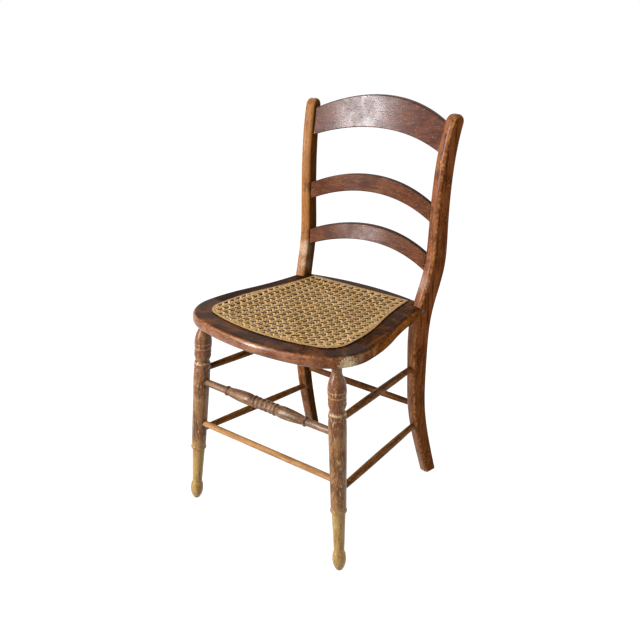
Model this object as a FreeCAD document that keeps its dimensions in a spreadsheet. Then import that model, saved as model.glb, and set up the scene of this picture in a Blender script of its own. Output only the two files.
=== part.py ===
import FreeCAD, Part
import math
import os
from FreeCAD import Placement, Rotation, Vector

# Ladderback side chair with a caned seat, in millimetres.
# The floor is z = 0, +X is to the right of someone who faces the chair's front,
# +Y points to the back of the chair, and the origin is the middle of its footprint.

# Driving sizes. Each is written once here and everything else is worked out from them.
SIZES = {
    # Stance of the front legs: their turning axes at the floor and at the level leg_level
    "leg_foot_spread": (384.0, "between the front leg axes on the floor"),
    "leg_top_spread": (324.0, "between the front leg axes at leg_level"),
    "leg_foot_front": (198.6, "front leg axis ahead of the origin on the floor"),
    "leg_top_front": (170.8, "front leg axis ahead of the origin at leg_level"),
    "leg_level": (412.0, "height at which the leg tops are set out"),
    # Turned profile of a front leg
    "foot_end_dia": (9.0, "flat end of the foot"),
    "foot_bulb_dia": (26.0, "ball of the foot"),
    "foot_bulb_height": (30.0, "widest part of the ball"),
    "ankle_dia": (20.6, "ankle above the ball"),
    "ankle_height": (40.0, "height of the ankle"),
    "calf_dia": (26.4, "under the lower ring"),
    "ring_height": (129.5, "middle of the lower ring"),
    "ring_dia": (32.4, "lower ring"),
    "ring_width": (9.0, "lower ring along the leg"),
    "shaft_low_dia": (30.0, "shaft above the lower ring"),
    "shaft_top_dia": (34.2, "shaft under the collar"),
    "shaft_top_drop": (30.0, "thickest part of the shaft under the collar's middle"),
    "collar_dia": (34.0, "collar bead"),
    "collar_drop": (10.0, "collar's middle under the waist"),
    "collar_half": (6.0, "half the collar bead along the leg"),
    "collar_band": (11.0, "plain band under the collar bead"),
    "waist_dia": (26.8, "waist over the collar"),
    "waist_length": (13.0, "waist under the urn"),
    "urn_dia": (34.8, "urn"),
    "urn_bead": (4.0, "bead at the urn's bottom"),
    "urn_band": (10.0, "between the two scribed lines"),
    "urn_body": (20.0, "widest part of the urn over the upper scribed line"),
    "urn_top": (24.0, "neck over the widest part of the urn"),
    "neck_dia": (19.4, "neck and its round tenon"),
    "neck_length": (14.3, "bare neck under the seat"),
    "groove_depth": (0.8, "scribed lines"),
    # Seat frame, drawn flat and then tipped to the rear
    "seat_level": (435.8, "top of the seat frame over the origin"),
    "seat_tilt": (3.35, "degrees that the seat falls to the rear"),
    "rail_thick": (24.5, "seat frame boards"),
    "rail_nose": (9.5, "rounding of the outer edge"),
    "rear_nose": (7.0, "rounding of the rear rail's back edge"),
    "cane_half_width": (158.5, "edge of the cane at its widest"),
    "cane_front": (196.3, "edge of the cane ahead of the origin"),
    "cane_rear": (142.7, "edge of the cane behind the origin"),
    "cane_front_radius": (400.0, "bow of the cane's front edge"),
    "cane_corner_radius": (50.0, "front corners of the cane"),
    "cane_swell_y": (107.3, "cane's side starts to swell, ahead of the origin"),
    "cane_swell_radius": (430.0, "swelling arc of the cane's side"),
    "cane_hollow_radius": (805.0, "drawn-in arc of the cane's side"),
    "side_turn": (14.1, "degrees at which the swelling turns hollow"),
    "seat_half_width": (200.0, "seat frame at its widest"),
    "front_edge": (234.3, "front rail's nose ahead of the origin"),
    "front_radius": (450.0, "bow of the front rail"),
    "front_corner_radius": (98.0, "front corners of the seat"),
    "seat_swell_radius": (434.0, "swelling arc of the seat's side"),
    "seat_hollow_radius": (762.0, "drawn-in arc of the seat's side"),
    "back_edge": (176.7, "rear rail's back edge behind the origin"),
    "back_radius": (500.0, "bow of the rear rail"),
    "cane_lap": (13.0, "cane lying on the wood around the opening"),
    "corner_joint": (112.0, "front rail to side rail joint ahead of the origin"),
    "leg_socket": (18.0, "leg tenon in the front rail"),
    "dowel_dia": (9.0, "corner dowels"),
    "dowel_length": (40.0, "corner dowels"),
    "dowel_first": (17.0, "first dowel from the opening"),
    "dowel_pitch": (22.0, "between the two dowels of a corner"),
    "rear_tenon_width": (18.0, "stub tenon of the rear rail"),
    "rear_tenon_thick": (9.0, "stub tenon of the rear rail"),
    "rear_tenon_length": (10.0, "stub tenon of the rear rail"),
    "rear_tenon_back": (6.0, "tenon's middle behind the middle of the joint"),
    # Cane
    "cane_thick": (1.2, "woven cane"),
    "cane_pitch": (17.6, "net of the cane, one gap to the next"),
    "cane_first_row": (25.0, "first row of gaps behind the cane's front edge"),
    "cane_gap": (8.6, "side of a gap"),
    "binder_width": (6.5, "binder round the edge"),
    "binder_thick": (1.0, "binder round the edge"),
    # Back posts: planks standing on radii about a vertical line in front of the back
    "post_gap": (272.4, "between the posts' inner front corners at the stretchers"),
    "post_back": (119.4, "those corners behind the origin"),
    "post_turn": (13.7, "degrees that each post is turned in"),
    "post_thick": (24.0, "post across"),
    "post_height": (806.0, "top of the posts"),
    "post_round": (7.5, "rounding of the long edges"),
    "post_crown_front": (18.0, "front corner of the post's top"),
    "post_crown_back": (14.5, "back corner of the post's top"),
    "post_foot_ease": (3.0, "easing of the edges that the post stands on"),
    "foot_depth": (31.6, "post from front to back on the floor"),
    "shin_depth": (38.0, "post at the rear stretcher"),
    "hip_depth": (49.5, "post at the seat"),
    "back_depth": (38.8, "post at the slats"),
    "crown_depth": (35.4, "post at the crest"),
    # Slats and crest
    "slat_setback": (4.0, "slat's face behind the post's front edge"),
    "slat_thick": (11.5, "slats and crest"),
    "slat_ease": (1.5, "easing of their long edges"),
    "crest_drop": (9.0, "crest's upper edge at the posts, under their tops"),
    "crest_tall": (58.0, "crest at the posts"),
    "crest_low_rise": (21.5, "arch of the lower edge"),
    "crest_high_rise": (27.0, "arch of the upper edge"),
    "upper_gap": (69.0, "between the two slats at the posts"),
    "upper_tall": (36.0, "upper slat at the posts"),
    "upper_rise": (27.5, "arch of the upper slat"),
    "lower_gap": (70.7, "between the seat and the lower slat at the posts"),
    "lower_tall": (34.0, "lower slat at the posts"),
    "lower_rise": (24.5, "arch of the lower slat"),
    "slat_tenon_thick": (7.0, "slat tenons"),
    "slat_tenon_length": (13.0, "slat tenons"),
    "slat_tenon_shoulder": (6.0, "slat edge to tenon edge"),
    # Stretchers
    "turned_height": (287.0, "turned front stretcher"),
    "turned_end_dia": (15.6, "its plain ends"),
    "turned_tenon_dia": (14.6, "its tenons"),
    "turned_bead_dia": (23.6, "its middle beads"),
    "turned_bead_pitch": (11.0, "one middle bead to the next"),
    "turned_groove_dia": (20.4, "between the beads"),
    "turned_vase_dia": (24.8, "its two vases"),
    "turned_vase_place": (46.0, "thickest part of a vase from the middle"),
    "turned_vase_end_dia": (16.8, "outer end of a vase"),
    "turned_ring_place": (98.0, "outer ring from the middle"),
    "turned_ring_dia": (20.4, "outer ring"),
    "turned_ring_width": (7.0, "outer ring"),
    "dowel_rung_height": (190.0, "plain front stretcher"),
    "dowel_rung_dia": (12.6, "plain front stretcher"),
    "rung_mid_dia": (15.4, "side and rear stretchers in the middle"),
    "rung_end_dia": (12.6, "side and rear stretchers at the ends"),
    "side_high_step": (25.8, "upper side stretcher over the turned one at the leg"),
    "side_high_back": (286.5, "upper side stretcher at the post"),
    "side_low_step": (21.0, "lower side stretcher under the plain front one at the leg"),
    "side_low_back": (139.2, "lower side stretcher at the post"),
    "rear_height": (188.7, "rear stretcher"),
    "leg_mortise": (14.5, "stretcher in a front leg"),
    "post_mortise": (16.0, "stretcher in a post"),
    # Seat screws
    "screw_drop": (8.7, "screw below the top of the seat"),
    "screw_place": (19.0, "screw behind the post's inner front corner"),
    "screw_dia": (5.0, "shank"),
    "screw_head_dia": (9.6, "countersunk head"),
    "screw_head_depth": (2.8, "countersunk head"),
    "screw_in_rail": (13.0, "screw in the side rail"),
    # Fits
    "fit": (0.1, "between a tenon or dowel and its hole, all round"),
    "end_gap": (1.0, "past the end of a tenon or dowel"),
    "shoulder_gap": (0.3, "side rail's shoulder to the post's curved front"),
}

# Front edge of a post, as (height, place behind the inner front corner's line).
# The foot kicks back, the hip stands forward under the seat, and the back sweeps away above it.
POST_FRONT = [(0.0, 63.5), (80.0, 36.6), (180.0, 10.3), (300.0, 0.0), (412.0, 4.0),
              (500.0, 34.5), (580.0, 42.8), (700.0, 50.8), (800.0, 76.6), (840.0, 87.0)]

doc = FreeCAD.newDocument("ladderback_chair")
sheet = doc.addObject("Spreadsheet::Sheet", "Sizes")
for row, (alias, (number, meaning)) in enumerate(SIZES.items(), 1):
    sheet.set(f"A{row}", meaning)
    sheet.set(f"B{row}", str(number))
    sheet.setAlias(f"B{row}", alias)
doc.recompute()


def size(alias):
    """A driving size as the sheet holds it."""
    return float(sheet.get(alias))


def flat(x, y):
    """A point of a sketch."""
    return Vector(x, y, 0)


def bind(thing, prop, formula):
    """Ties a property to the sheet; a plain word stands for a size."""
    words = formula.replace("(", "( ").replace(")", " )").split()
    thing.setExpression(prop, " ".join("Sizes." + word if word in SIZES else word for word in words))


def new_body(name):
    body = doc.addObject("PartDesign::Body", name)
    body.Label = name
    return body


def new_sketch(body, role, name, curves):
    """A sketch on one of the body's own origin planes, holding the given closed curves."""
    plane = next(item for item in body.Origin.OriginFeatures if item.Role == role)
    sketch = body.newObject("Sketcher::SketchObject", name)
    sketch.AttachmentSupport = [(plane, "")]
    sketch.MapMode = "FlatFace"
    for curve in curves:
        sketch.addGeometry(curve, False)
    return sketch


def outline(points):
    """Closed outline: (x, y) ends a straight side, and (x, y, mx, my) an arc through (mx, my)."""
    curves = []
    last = flat(*points[-1][:2])
    for point in points:
        here = flat(*point[:2])
        if len(point) == 4:
            curves.append(Part.ArcOfCircle(last, flat(*point[2:]), here))
        else:
            curves.append(Part.LineSegment(last, here))
        last = here
    return curves


def arc_middle(centre, radius, start, end):
    """The point halfway along an arc, from its centre and the angles of its ends."""
    angle = math.radians((start + end) / 2)
    return centre[0] + radius * math.cos(angle), centre[1] + radius * math.sin(angle)


def pick_edges(feature, wanted):
    return [f"Edge{number}" for number, edge in enumerate(feature.Shape.Edges, 1) if wanted(edge)]


def cut(label, base, tools):
    """The base less the tools, under the sub-part's own name."""
    tool = tools[0]
    if len(tools) > 1:
        tool = doc.addObject("Part::MultiFuse", label + "_cuts")
        tool.Shapes = tools
    piece = doc.addObject("Part::Cut", label)
    piece.Base = base
    piece.Tool = tool
    piece.Label = label
    return piece


def along(start, end):
    """Placement whose Z axis runs from start towards end."""
    return Placement(start, Rotation(Vector(0, 0, 1), end - start))


def peg(name, dia, start, end, grow=False):
    """Cylinder of the size dia between two points; a hole is one fit larger all round."""
    rod = doc.addObject("Part::Cylinder", name)
    rod.Placement = along(start, end)
    bind(rod, "Radius", f"{dia} / 2 + fit" if grow else f"{dia} / 2")
    rod.Height = (end - start).Length
    return rod


# Setting out

TURN = math.radians(size("post_turn"))
SPREAD = size("post_gap") / 2
BACK_AXIS = size("post_back") - SPREAD / math.tan(TURN)
POST_RADIUS = SPREAD / math.sin(TURN)
POST_CURVE = Part.BSplineCurve()
POST_CURVE.interpolate([Vector(place, 0, height) for height, place in POST_FRONT])
SEAT = Placement(Vector(0, 0, size("seat_level")), Rotation(Vector(1, 0, 0), -size("seat_tilt")))
SIDES = {"left": -1, "right": 1}


def on_seat(x, y, z):
    """A point given from the middle of the seat frame's top."""
    return SEAT.multVec(Vector(x, y, z))


# Heights of the slats: two stand on the seat and on each other, and the crest hangs from the posts' tops
LOWER_LOW = on_seat(0, size("post_back"), 0).z + size("lower_gap")
LOWER_HIGH = LOWER_LOW + size("lower_tall")
UPPER_LOW = LOWER_HIGH + size("upper_gap")
UPPER_HIGH = UPPER_LOW + size("upper_tall")
CREST_HIGH = size("post_height") - size("crest_drop")
CREST_LOW = CREST_HIGH - size("crest_tall")

# Heights along a leg, from the seat's underside down
LEG_TOP = on_seat(0, -size("leg_top_front"), -size("rail_thick")).z
NECK = LEG_TOP - size("neck_length")
SHOULDER = NECK - size("urn_top")
BAND_HIGH = SHOULDER - size("urn_body")
BAND_LOW = BAND_HIGH - size("urn_band")
URN_LOW = BAND_LOW - size("urn_bead")
WAIST = URN_LOW - size("waist_length")
COLLAR = WAIST - size("collar_drop")
SHAFT_TOP = COLLAR - size("shaft_top_drop")


def post_front(height):
    """Place of the post's front edge at a height, behind the inner front corner's line.

    It runs straight on above the last height that is set out.
    """
    (low, before), (high, last) = POST_FRONT[-2:]
    if height > high:
        return last + (last - before) * (height - high) / (high - low)
    level = Part.Plane(Vector(0, 0, height), Vector(0, 0, 1))
    hits = POST_CURVE.intersect(level)[0]
    return hits[0].X


def post_depth(height):
    """Depth of the post, straight between the depths that the sheet gives."""
    stations = [(0, size("foot_depth")), (size("rear_height"), size("shin_depth")),
                (size("seat_level"), size("hip_depth")), (UPPER_LOW, size("back_depth")),
                (size("post_height"), size("crown_depth"))]
    for (low, first), (high, second) in zip(stations, stations[1:]):
        if height <= high:
            return first + (second - first) * (height - low) / (high - low)
    return stations[-1][1]


def on_post(side, place, outward, height):
    """A point of a post: place behind the inner front corner's line, and outward from the inner face."""
    radius = POST_RADIUS + place
    x = radius * math.sin(TURN) + outward * math.cos(TURN)
    y = BACK_AXIS + radius * math.cos(TURN) - outward * math.sin(TURN)
    return Vector(side * x, y, height)


def on_leg(side, height):
    """A point of a front leg's turning axis."""
    share = height / size("leg_level")
    x = (size("leg_foot_spread") + (size("leg_top_spread") - size("leg_foot_spread")) * share) / 2
    y = size("leg_foot_front") + (size("leg_top_front") - size("leg_foot_front")) * share
    return Vector(side * x, -y, height)


def seat_ring(half_width, front, front_radius, corner_radius, swell, hollow, rear, swell_y=None):
    """Right half of a seat outline: its named points, as (x, y), and the middles of its arcs.

    The side runs straight from the front corner to swell_y ahead of the origin, or swells at once.
    """
    turn = size("side_turn")
    front_centre = (0, -front + front_radius)
    reach = front_radius - corner_radius
    corner_x = half_width - corner_radius
    corner_y = front_centre[1] - math.sqrt(reach ** 2 - corner_x ** 2)
    lean = math.degrees(math.atan2(corner_y - front_centre[1], corner_x))
    start = corner_y if swell_y is None else -swell_y
    swell_centre = (half_width - swell, start)
    middle = (swell_centre[0] + swell * math.cos(math.radians(turn)),
              start + swell * math.sin(math.radians(turn)))
    hollow_centre = (middle[0] + hollow * math.cos(math.radians(turn)),
                     middle[1] + hollow * math.sin(math.radians(turn)))
    last = math.degrees(math.asin((hollow_centre[1] - rear) / hollow))
    return {
        "front_mid": (0, -front),
        "corner_in": (front_radius * math.cos(math.radians(lean)),
                      front_centre[1] + front_radius * math.sin(math.radians(lean))),
        "corner_arc": arc_middle((corner_x, corner_y), corner_radius, lean, 0),
        "corner_out": (half_width, corner_y),
        "swell_start": (half_width, start),
        "swell_arc": arc_middle(swell_centre, swell, 0, turn),
        "middle": middle,
        "hollow_arc": arc_middle(hollow_centre, hollow, 180 + turn, 180 + last),
        "rear": (hollow_centre[0] - hollow * math.cos(math.radians(last)), rear),
    }


def cane_ring(inset):
    """The cane's edge, drawn in all round by an inset."""
    return seat_ring(size("cane_half_width") - inset, size("cane_front") - inset,
                     size("cane_front_radius") - inset, size("cane_corner_radius") - inset,
                     size("cane_swell_radius") - inset, size("cane_hollow_radius") + inset,
                     size("cane_rear") - inset, size("cane_swell_y"))


def ring_outline(ring, back=()):
    """The whole closed outline of a ring, both halves, with the back's own points between them."""
    points = [ring["middle"] + ring["swell_arc"], ring["rear"] + ring["hollow_arc"]]
    points.extend(back)
    points.append((-ring["rear"][0], ring["rear"][1]))
    for end, arc in (("middle", "hollow_arc"), ("swell_start", "swell_arc")):
        points.append((-ring[end][0], ring[end][1], -ring[arc][0], ring[arc][1]))
    if ring["swell_start"] != ring["corner_out"]:
        points.append((-ring["corner_out"][0], ring["corner_out"][1]))
    points.append((-ring["corner_in"][0], ring["corner_in"][1], -ring["corner_arc"][0], ring["corner_arc"][1]))
    points.append(ring["corner_in"] + ring["front_mid"])
    points.append(ring["corner_out"] + ring["corner_arc"])
    if ring["swell_start"] != ring["corner_out"]:
        points.append(ring["swell_start"])
    return outline(points)


OPENING = cane_ring(size("cane_lap"))
OUTER = seat_ring(size("seat_half_width"), size("front_edge"), size("front_radius"),
                  size("front_corner_radius"), size("seat_swell_radius"), size("seat_hollow_radius"),
                  size("cane_rear"))


def back_edge(x):
    """The rear rail's bowed back edge."""
    radius = size("back_radius")
    return size("back_edge") - radius + math.sqrt(radius ** 2 - x ** 2)


def tongue_line(y):
    """Inner side of a side rail's tongue, parallel to the post's inner face."""
    x, start = OPENING["rear"]
    return x + (y - start) * math.tan(TURN)


# Turned front legs: urn over a collar, tapering shaft, ring, calf and ball foot

def leg_profile():
    """Half section of a leg as (radius, height), from the foot's end to the top of the tenon."""
    ring = size("ring_width") / 2
    groove = size("groove_depth")
    collar_low = COLLAR - size("collar_half")
    band_low = COLLAR - size("collar_band")
    tenon_top = LEG_TOP + size("leg_socket")
    below_floor = 3.0
    half = {name: size(name + "_dia") / 2 for name in (
        "foot_end", "foot_bulb", "ankle", "calf", "ring", "shaft_low", "shaft_top", "collar",
        "waist", "urn", "neck")}
    mid = (size("foot_bulb_height") - below_floor) * 0.35
    return [
        (0, -below_floor),
        (half["foot_end"], -below_floor),
        (half["foot_bulb"], size("foot_bulb_height"), half["foot_bulb"] * 0.86, mid),
        (half["ankle"], size("ankle_height"), half["foot_bulb"] - 0.9, size("ankle_height") - 4.0),
        (half["calf"], size("ring_height") - ring),
        (half["shaft_low"], size("ring_height") + ring, half["ring"], size("ring_height")),
        (half["shaft_top"], SHAFT_TOP),
        (half["shaft_top"] - 0.3, band_low),
        (half["shaft_top"] - 0.3 - groove, band_low + 1.0),
        (half["collar"] - 0.6, collar_low - 2.0),
        (half["collar"] - 0.6 - groove, collar_low),
        (half["waist"], WAIST, half["collar"] + 0.1, COLLAR + 1.5),
        (half["urn"], URN_LOW, half["urn"] - 2.2, WAIST + 5.0),
        (half["urn"] - groove, BAND_LOW),
        (half["urn"] - 0.4, BAND_LOW + 2.0),
        (half["urn"] - 0.4, BAND_HIGH - 2.0),
        (half["urn"] - groove, BAND_HIGH),
        (half["urn"] * 0.86, SHOULDER + 11.0, half["urn"] + 0.1, SHOULDER - 4.0),
        (half["neck"], NECK, half["neck"] + 2.4, NECK - 5.5),
        (half["neck"], tenon_top),
        (0, tenon_top),
    ]


def turned(name, role, profile, axis):
    """A body turned from a half section."""
    body = new_body(name)
    sketch = new_sketch(body, role, name + "_section", outline(profile))
    spun = body.newObject("PartDesign::Revolution", name + "_turning")
    spun.Profile = sketch
    spun.ReferenceAxis = (sketch, [axis])
    spun.Angle = 360
    sketch.Visibility = False
    return body


floor_side = 2 * size("leg_foot_spread")
floor = doc.addObject("Part::Box", "under_floor")
floor.Length = floor.Width = floor_side
floor.Height = size("rail_thick")
floor.Placement.Base = Vector(-floor_side / 2, -floor_side / 2, -size("rail_thick"))

TURNED_AXIS = {side: on_leg(side, size("turned_height")) for side in (-1, 1)}
RUNG_AXIS = {side: on_leg(side, size("dowel_rung_height")) for side in (-1, 1)}


def shifted(start, end, distance):
    """The point that lies a distance from start on the way to end."""
    return start + (end - start).normalize() * distance


def rung_ends(side, level):
    """Leg axis point and post face point of a side stretcher."""
    start = {"high": size("turned_height") + size("side_high_step"),
             "low": size("dowel_rung_height") - size("side_low_step")}[level]
    front = on_leg(side, start)
    height = size(f"side_{level}_back")
    back = on_post(side, post_front(height), size("post_thick") / 2, height)
    return front, back


def in_leg(side, height):
    """How far a stretcher's tenon end stays from the leg's axis, past the axis being negative."""
    low, high = size("ring_height"), SHAFT_TOP
    share = min(1.0, (height - low) / (high - low))
    radius = (size("shaft_low_dia") + (size("shaft_top_dia") - size("shaft_low_dia")) * share) / 2
    return radius - size("leg_mortise")


REAR_Y = {side: on_post(side, post_front(size("rear_height")) + post_depth(size("rear_height")) / 2, 0,
                        size("rear_height")) for side in (-1, 1)}

for word, side in SIDES.items():
    leg = turned(f"leg_turning_{word}", "XZ_Plane", leg_profile(), "V_Axis")
    leg.Placement = along(on_leg(side, 0), on_leg(side, size("leg_level")))
    holes = [floor]
    for rung, dia, axis in (("turned", "turned_tenon_dia", TURNED_AXIS), ("plain", "dowel_rung_dia", RUNG_AXIS)):
        inner = shifted(axis[side], axis[-side], in_leg(side, axis[side].z) - size("end_gap"))
        outer = shifted(axis[side], axis[-side], size("shaft_top_dia"))
        holes.append(peg(f"{rung}_socket_{word}", dia, inner, outer, True))
    for level in ("high", "low"):
        front, back = rung_ends(side, level)
        inner = shifted(front, back, in_leg(side, front.z) - size("end_gap"))
        outer = shifted(front, back, size("shaft_top_dia"))
        holes.append(peg(f"{level}_leg_socket_{word}", "rung_end_dia", inner, outer, True))
    cut(f"front_leg_{word}", leg, holes)


# Stretchers

def turned_stretcher_profile():
    """Half section along X: four beads between two rings, two vases, two outer rings, plain ends."""
    half = {name: size(f"turned_{name}_dia") / 2 for name in (
        "end", "tenon", "bead", "groove", "vase", "vase_end", "ring")}
    pitch = size("turned_bead_pitch")
    ring, width = size("turned_ring_place"), size("turned_ring_width") / 2
    vase = size("turned_vase_place")
    axis = TURNED_AXIS[1].x
    tip = axis - in_leg(1, size("turned_height"))
    shoulder = axis - size("shaft_top_dia") * 0.6
    right = []
    for bead in range(2):
        right.append((pitch * (bead + 1), half["groove"], pitch * (bead + 0.5), half["bead"]))
    cap = 2 * pitch + 8.0
    right.append((cap, half["groove"], 2 * pitch + 4.5, half["bead"] + 0.5))
    right.append((vase, half["vase"], (cap + vase) / 2 - 1.5, half["vase"] - 0.7))
    waist = (vase + ring - width) / 2
    right.append((ring - width, half["vase_end"], waist, (half["vase"] + half["vase_end"]) / 2 + 0.9))
    right.append((ring + width, half["end"], ring, half["ring"]))
    right.append((shoulder, half["tenon"]))
    right.append((tip, half["tenon"]))
    right.append((tip, 0))
    left = [(-tip, 0), (-tip, half["tenon"])]
    points = [(0, half["groove"])] + right[:-1]
    for index in range(len(points) - 1, 0, -1):
        here, before = points[index], points[index - 1]
        left.append((-before[0], before[1]) + ((-here[2], here[3]) if len(here) == 4 else ()))
    return left + right


turned_rung = turned("front_stretcher_turned", "XZ_Plane", turned_stretcher_profile(), "H_Axis")
turned_rung.Placement.Base = Vector(0, TURNED_AXIS[1].y, TURNED_AXIS[1].z)


def swelled_profile(length, tenon, middle, first, last):
    """Half section along Z of a plain stretcher: tenon at each end, swelling to the middle."""
    centre = (first + length - last) / 2
    return [(0, 0), (tenon, 0), (tenon, first), (tenon, length - last, middle, centre),
            (tenon, length), (0, length)]


for word, side in SIDES.items():
    for level, name in (("high", "upper"), ("low", "lower")):
        front, back = rung_ends(side, level)
        start = shifted(front, back, in_leg(side, front.z))
        end = shifted(back, front, -size("post_mortise"))
        rung = turned(f"side_stretcher_{name}_{word}", "XZ_Plane", swelled_profile(
            (end - start).Length, size("rung_end_dia") / 2, size("rung_mid_dia") / 2,
            size("leg_mortise"), size("post_mortise")), "V_Axis")
        rung.Placement = along(start, end)

plain_reach = Vector(RUNG_AXIS[1].x - in_leg(1, size("dowel_rung_height")), 0, 0)
plain_middle = (RUNG_AXIS[-1] + RUNG_AXIS[1]) / 2
peg("front_stretcher_plain", "dowel_rung_dia", plain_middle - plain_reach, plain_middle + plain_reach)

rear_start = REAR_Y[-1] - Vector(size("post_mortise"), 0, 0)
rear_end = REAR_Y[1] + Vector(size("post_mortise"), 0, 0)
rear_rung = turned("rear_stretcher", "XZ_Plane", swelled_profile(
    (rear_end - rear_start).Length, size("rung_end_dia") / 2, size("rung_mid_dia") / 2,
    size("post_mortise"), size("post_mortise")), "V_Axis")
rear_rung.Placement = along(rear_start, rear_end)


# Slats and crest: leaning arcs about the back's own vertical line, so that their ends meet
# the turned-in posts squarely, sawn to an arch in elevation

def slat_lean(low, high):
    """Slope of the post's front edge beside a slat, as the run back for each millimetre of rise."""
    return (post_front(high) - post_front(low)) / (high - low)


def slat_box(label, side, low, high, grow):
    """The tenon of a slat, or with grow its mortise, square to the post's inner face."""
    lean = slat_lean(low, high)
    middle = (low + high) / 2
    root = 5.0
    clearance = size("fit") if grow else 0.0
    length = size("slat_tenon_length") + root + (size("end_gap") if grow else 0.0)
    thick = size("slat_tenon_thick") + 2 * clearance
    tall = high - low - 2 * size("slat_tenon_shoulder") + 2 * clearance
    out = Vector(side * math.cos(TURN), -math.sin(TURN), 0)
    back = Vector(side * math.sin(TURN), math.cos(TURN), 0)
    rise = (Vector(0, 0, 1) + back * lean).normalize()
    across = rise.cross(out)
    centre = on_post(side, post_front(middle) + size("slat_setback") + size("slat_thick") / 2, 0, middle)
    corner = centre - out * root - across * (thick / 2) - rise * (tall / 2)
    box = doc.addObject("Part::Box", label)
    box.Length = length
    box.Width = thick
    box.Height = tall
    box.Placement = Placement(corner, Rotation(out, across, rise, "XYZ"))
    return box


def arch(low, high, low_rise, high_rise):
    """Front outline of a slat, carried past its ends."""
    past = 25.0
    half = POST_RADIUS * math.sin(TURN)
    points = []

    def arc_height(x, end, rise):
        radius = (half ** 2 + rise ** 2) / (2 * rise)
        return end + rise - radius + math.sqrt(radius ** 2 - x ** 2)
    reach = half + past
    points.append((reach, arc_height(reach, low, low_rise), 0, low + low_rise))
    points.append((reach, arc_height(reach, high, high_rise)))
    points.append((-reach, arc_height(reach, high, high_rise), 0, high + high_rise))
    points.append((-reach, arc_height(reach, low, low_rise)))
    return outline(points)


def slat(label, low, high, low_rise, high_rise):
    lean = slat_lean(low, high)
    bottom, top = low - 15.0, high + high_rise + 5.0
    face = POST_RADIUS + post_front(low) + size("slat_setback")
    first, last = face + (bottom - low) * lean, face + (top - low) * lean
    thick = size("slat_thick") * math.sqrt(1 + lean ** 2)
    blank = new_body(label + "_blank")
    section = new_sketch(blank, "YZ_Plane", label + "_section", outline([
        (first, bottom), (first + thick, bottom), (last + thick, top), (last, top)]))
    bend = blank.newObject("PartDesign::Revolution", label + "_bend")
    bend.Profile = section
    bend.ReferenceAxis = (section, ["V_Axis"])
    bend.Midplane = True
    bind(bend, "Angle", "2 * post_turn")
    blank.Placement.Base = Vector(0, BACK_AXIS, 0)
    saw = new_body(label + "_arch")
    front = new_sketch(saw, "XZ_Plane", label + "_outline", arch(low, high, low_rise, high_rise))
    cutter = saw.newObject("PartDesign::Pad", label + "_sawing")
    cutter.Profile = front
    cutter.Midplane = True
    cutter.Length = 4 * size("front_edge")
    doc.recompute()
    board = doc.addObject("Part::Common", label + "_board")
    board.Base = blank
    board.Tool = saw
    doc.recompute()
    long_edges = []
    for number, edge in enumerate(board.Shape.Edges, 1):
        if edge.BoundBox.XLength > POST_RADIUS * math.sin(TURN):
            long_edges.append((number, size("slat_ease"), size("slat_ease")))
    eased = doc.addObject("Part::Chamfer", label + "_eased")
    eased.Base = board
    eased.Edges = long_edges
    tenons = [slat_box(f"{label}_tenon_{word}", side, low, high, False) for word, side in SIDES.items()]
    whole = doc.addObject("Part::MultiFuse", label)
    whole.Shapes = [eased] + tenons
    whole.Label = label
    return whole


SLATS = {
    "crest_rail": (CREST_LOW, CREST_HIGH, size("crest_low_rise"), size("crest_high_rise")),
    "upper_slat": (UPPER_LOW, UPPER_HIGH, size("upper_rise"), size("upper_rise")),
    "lower_slat": (LOWER_LOW, LOWER_HIGH, size("lower_rise"), size("lower_rise")),
}
for label, heights in SLATS.items():
    slat(label, *heights)


# Back posts: sawn to the S profile, edges rounded, with mortises for all that they carry

def post_profile(ahead=0.0):
    """Side outline of a post in its own plane; ahead moves its front edge forward."""
    top = size("post_height")
    heights = [height for height, place in POST_FRONT if height < top - 30] + [top]
    front = [flat(post_front(height) - ahead, height) for height in heights]
    back = [flat(post_front(height) + post_depth(height), height) for height in heights]
    front_curve = Part.BSplineCurve()
    front_curve.interpolate(front)
    back_curve = Part.BSplineCurve()
    back_curve.interpolate(back)
    return [front_curve, Part.LineSegment(front[-1], back[-1]), back_curve,
            Part.LineSegment(back[0], front[0])]


def post_placement(side):
    turn = 90 - side * size("post_turn")
    return Placement(on_post(side, 0, 0, 0), Rotation(Vector(0, 0, 1), turn))


def post_blank(name, side, thick, ahead=0.0):
    """A plank sawn to the post's profile, from its inner face outwards."""
    body = new_body(name)
    sketch = new_sketch(body, "XZ_Plane", name + "_profile", post_profile(ahead))
    plank = body.newObject("PartDesign::Pad", name + "_plank")
    plank.Profile = sketch
    plank.Reversed = side < 0
    bind(plank, "Length", thick)
    body.Placement = post_placement(side)
    doc.recompute()
    return body, plank


SCREW_LENGTH = size("post_thick") + size("screw_in_rail")


def screw_profile(grow):
    """Half section of a countersunk screw along Z, head down; grow opens it for the hole."""
    gap = size("fit") if grow else 0.0
    head, shank = size("screw_head_dia") / 2 + gap, size("screw_dia") / 2 + gap
    depth = size("screw_head_depth")
    end = SCREW_LENGTH + (size("end_gap") if grow else 0.0)
    start = 1.0 if grow else 0.6
    points = [(0, -2.0), (head, -2.0), (head, start)] if grow else [(0, start), (head, start)]
    return points + [(shank, start + depth), (shank, end - 6.0), (0.8, end), (0, end)]


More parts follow.
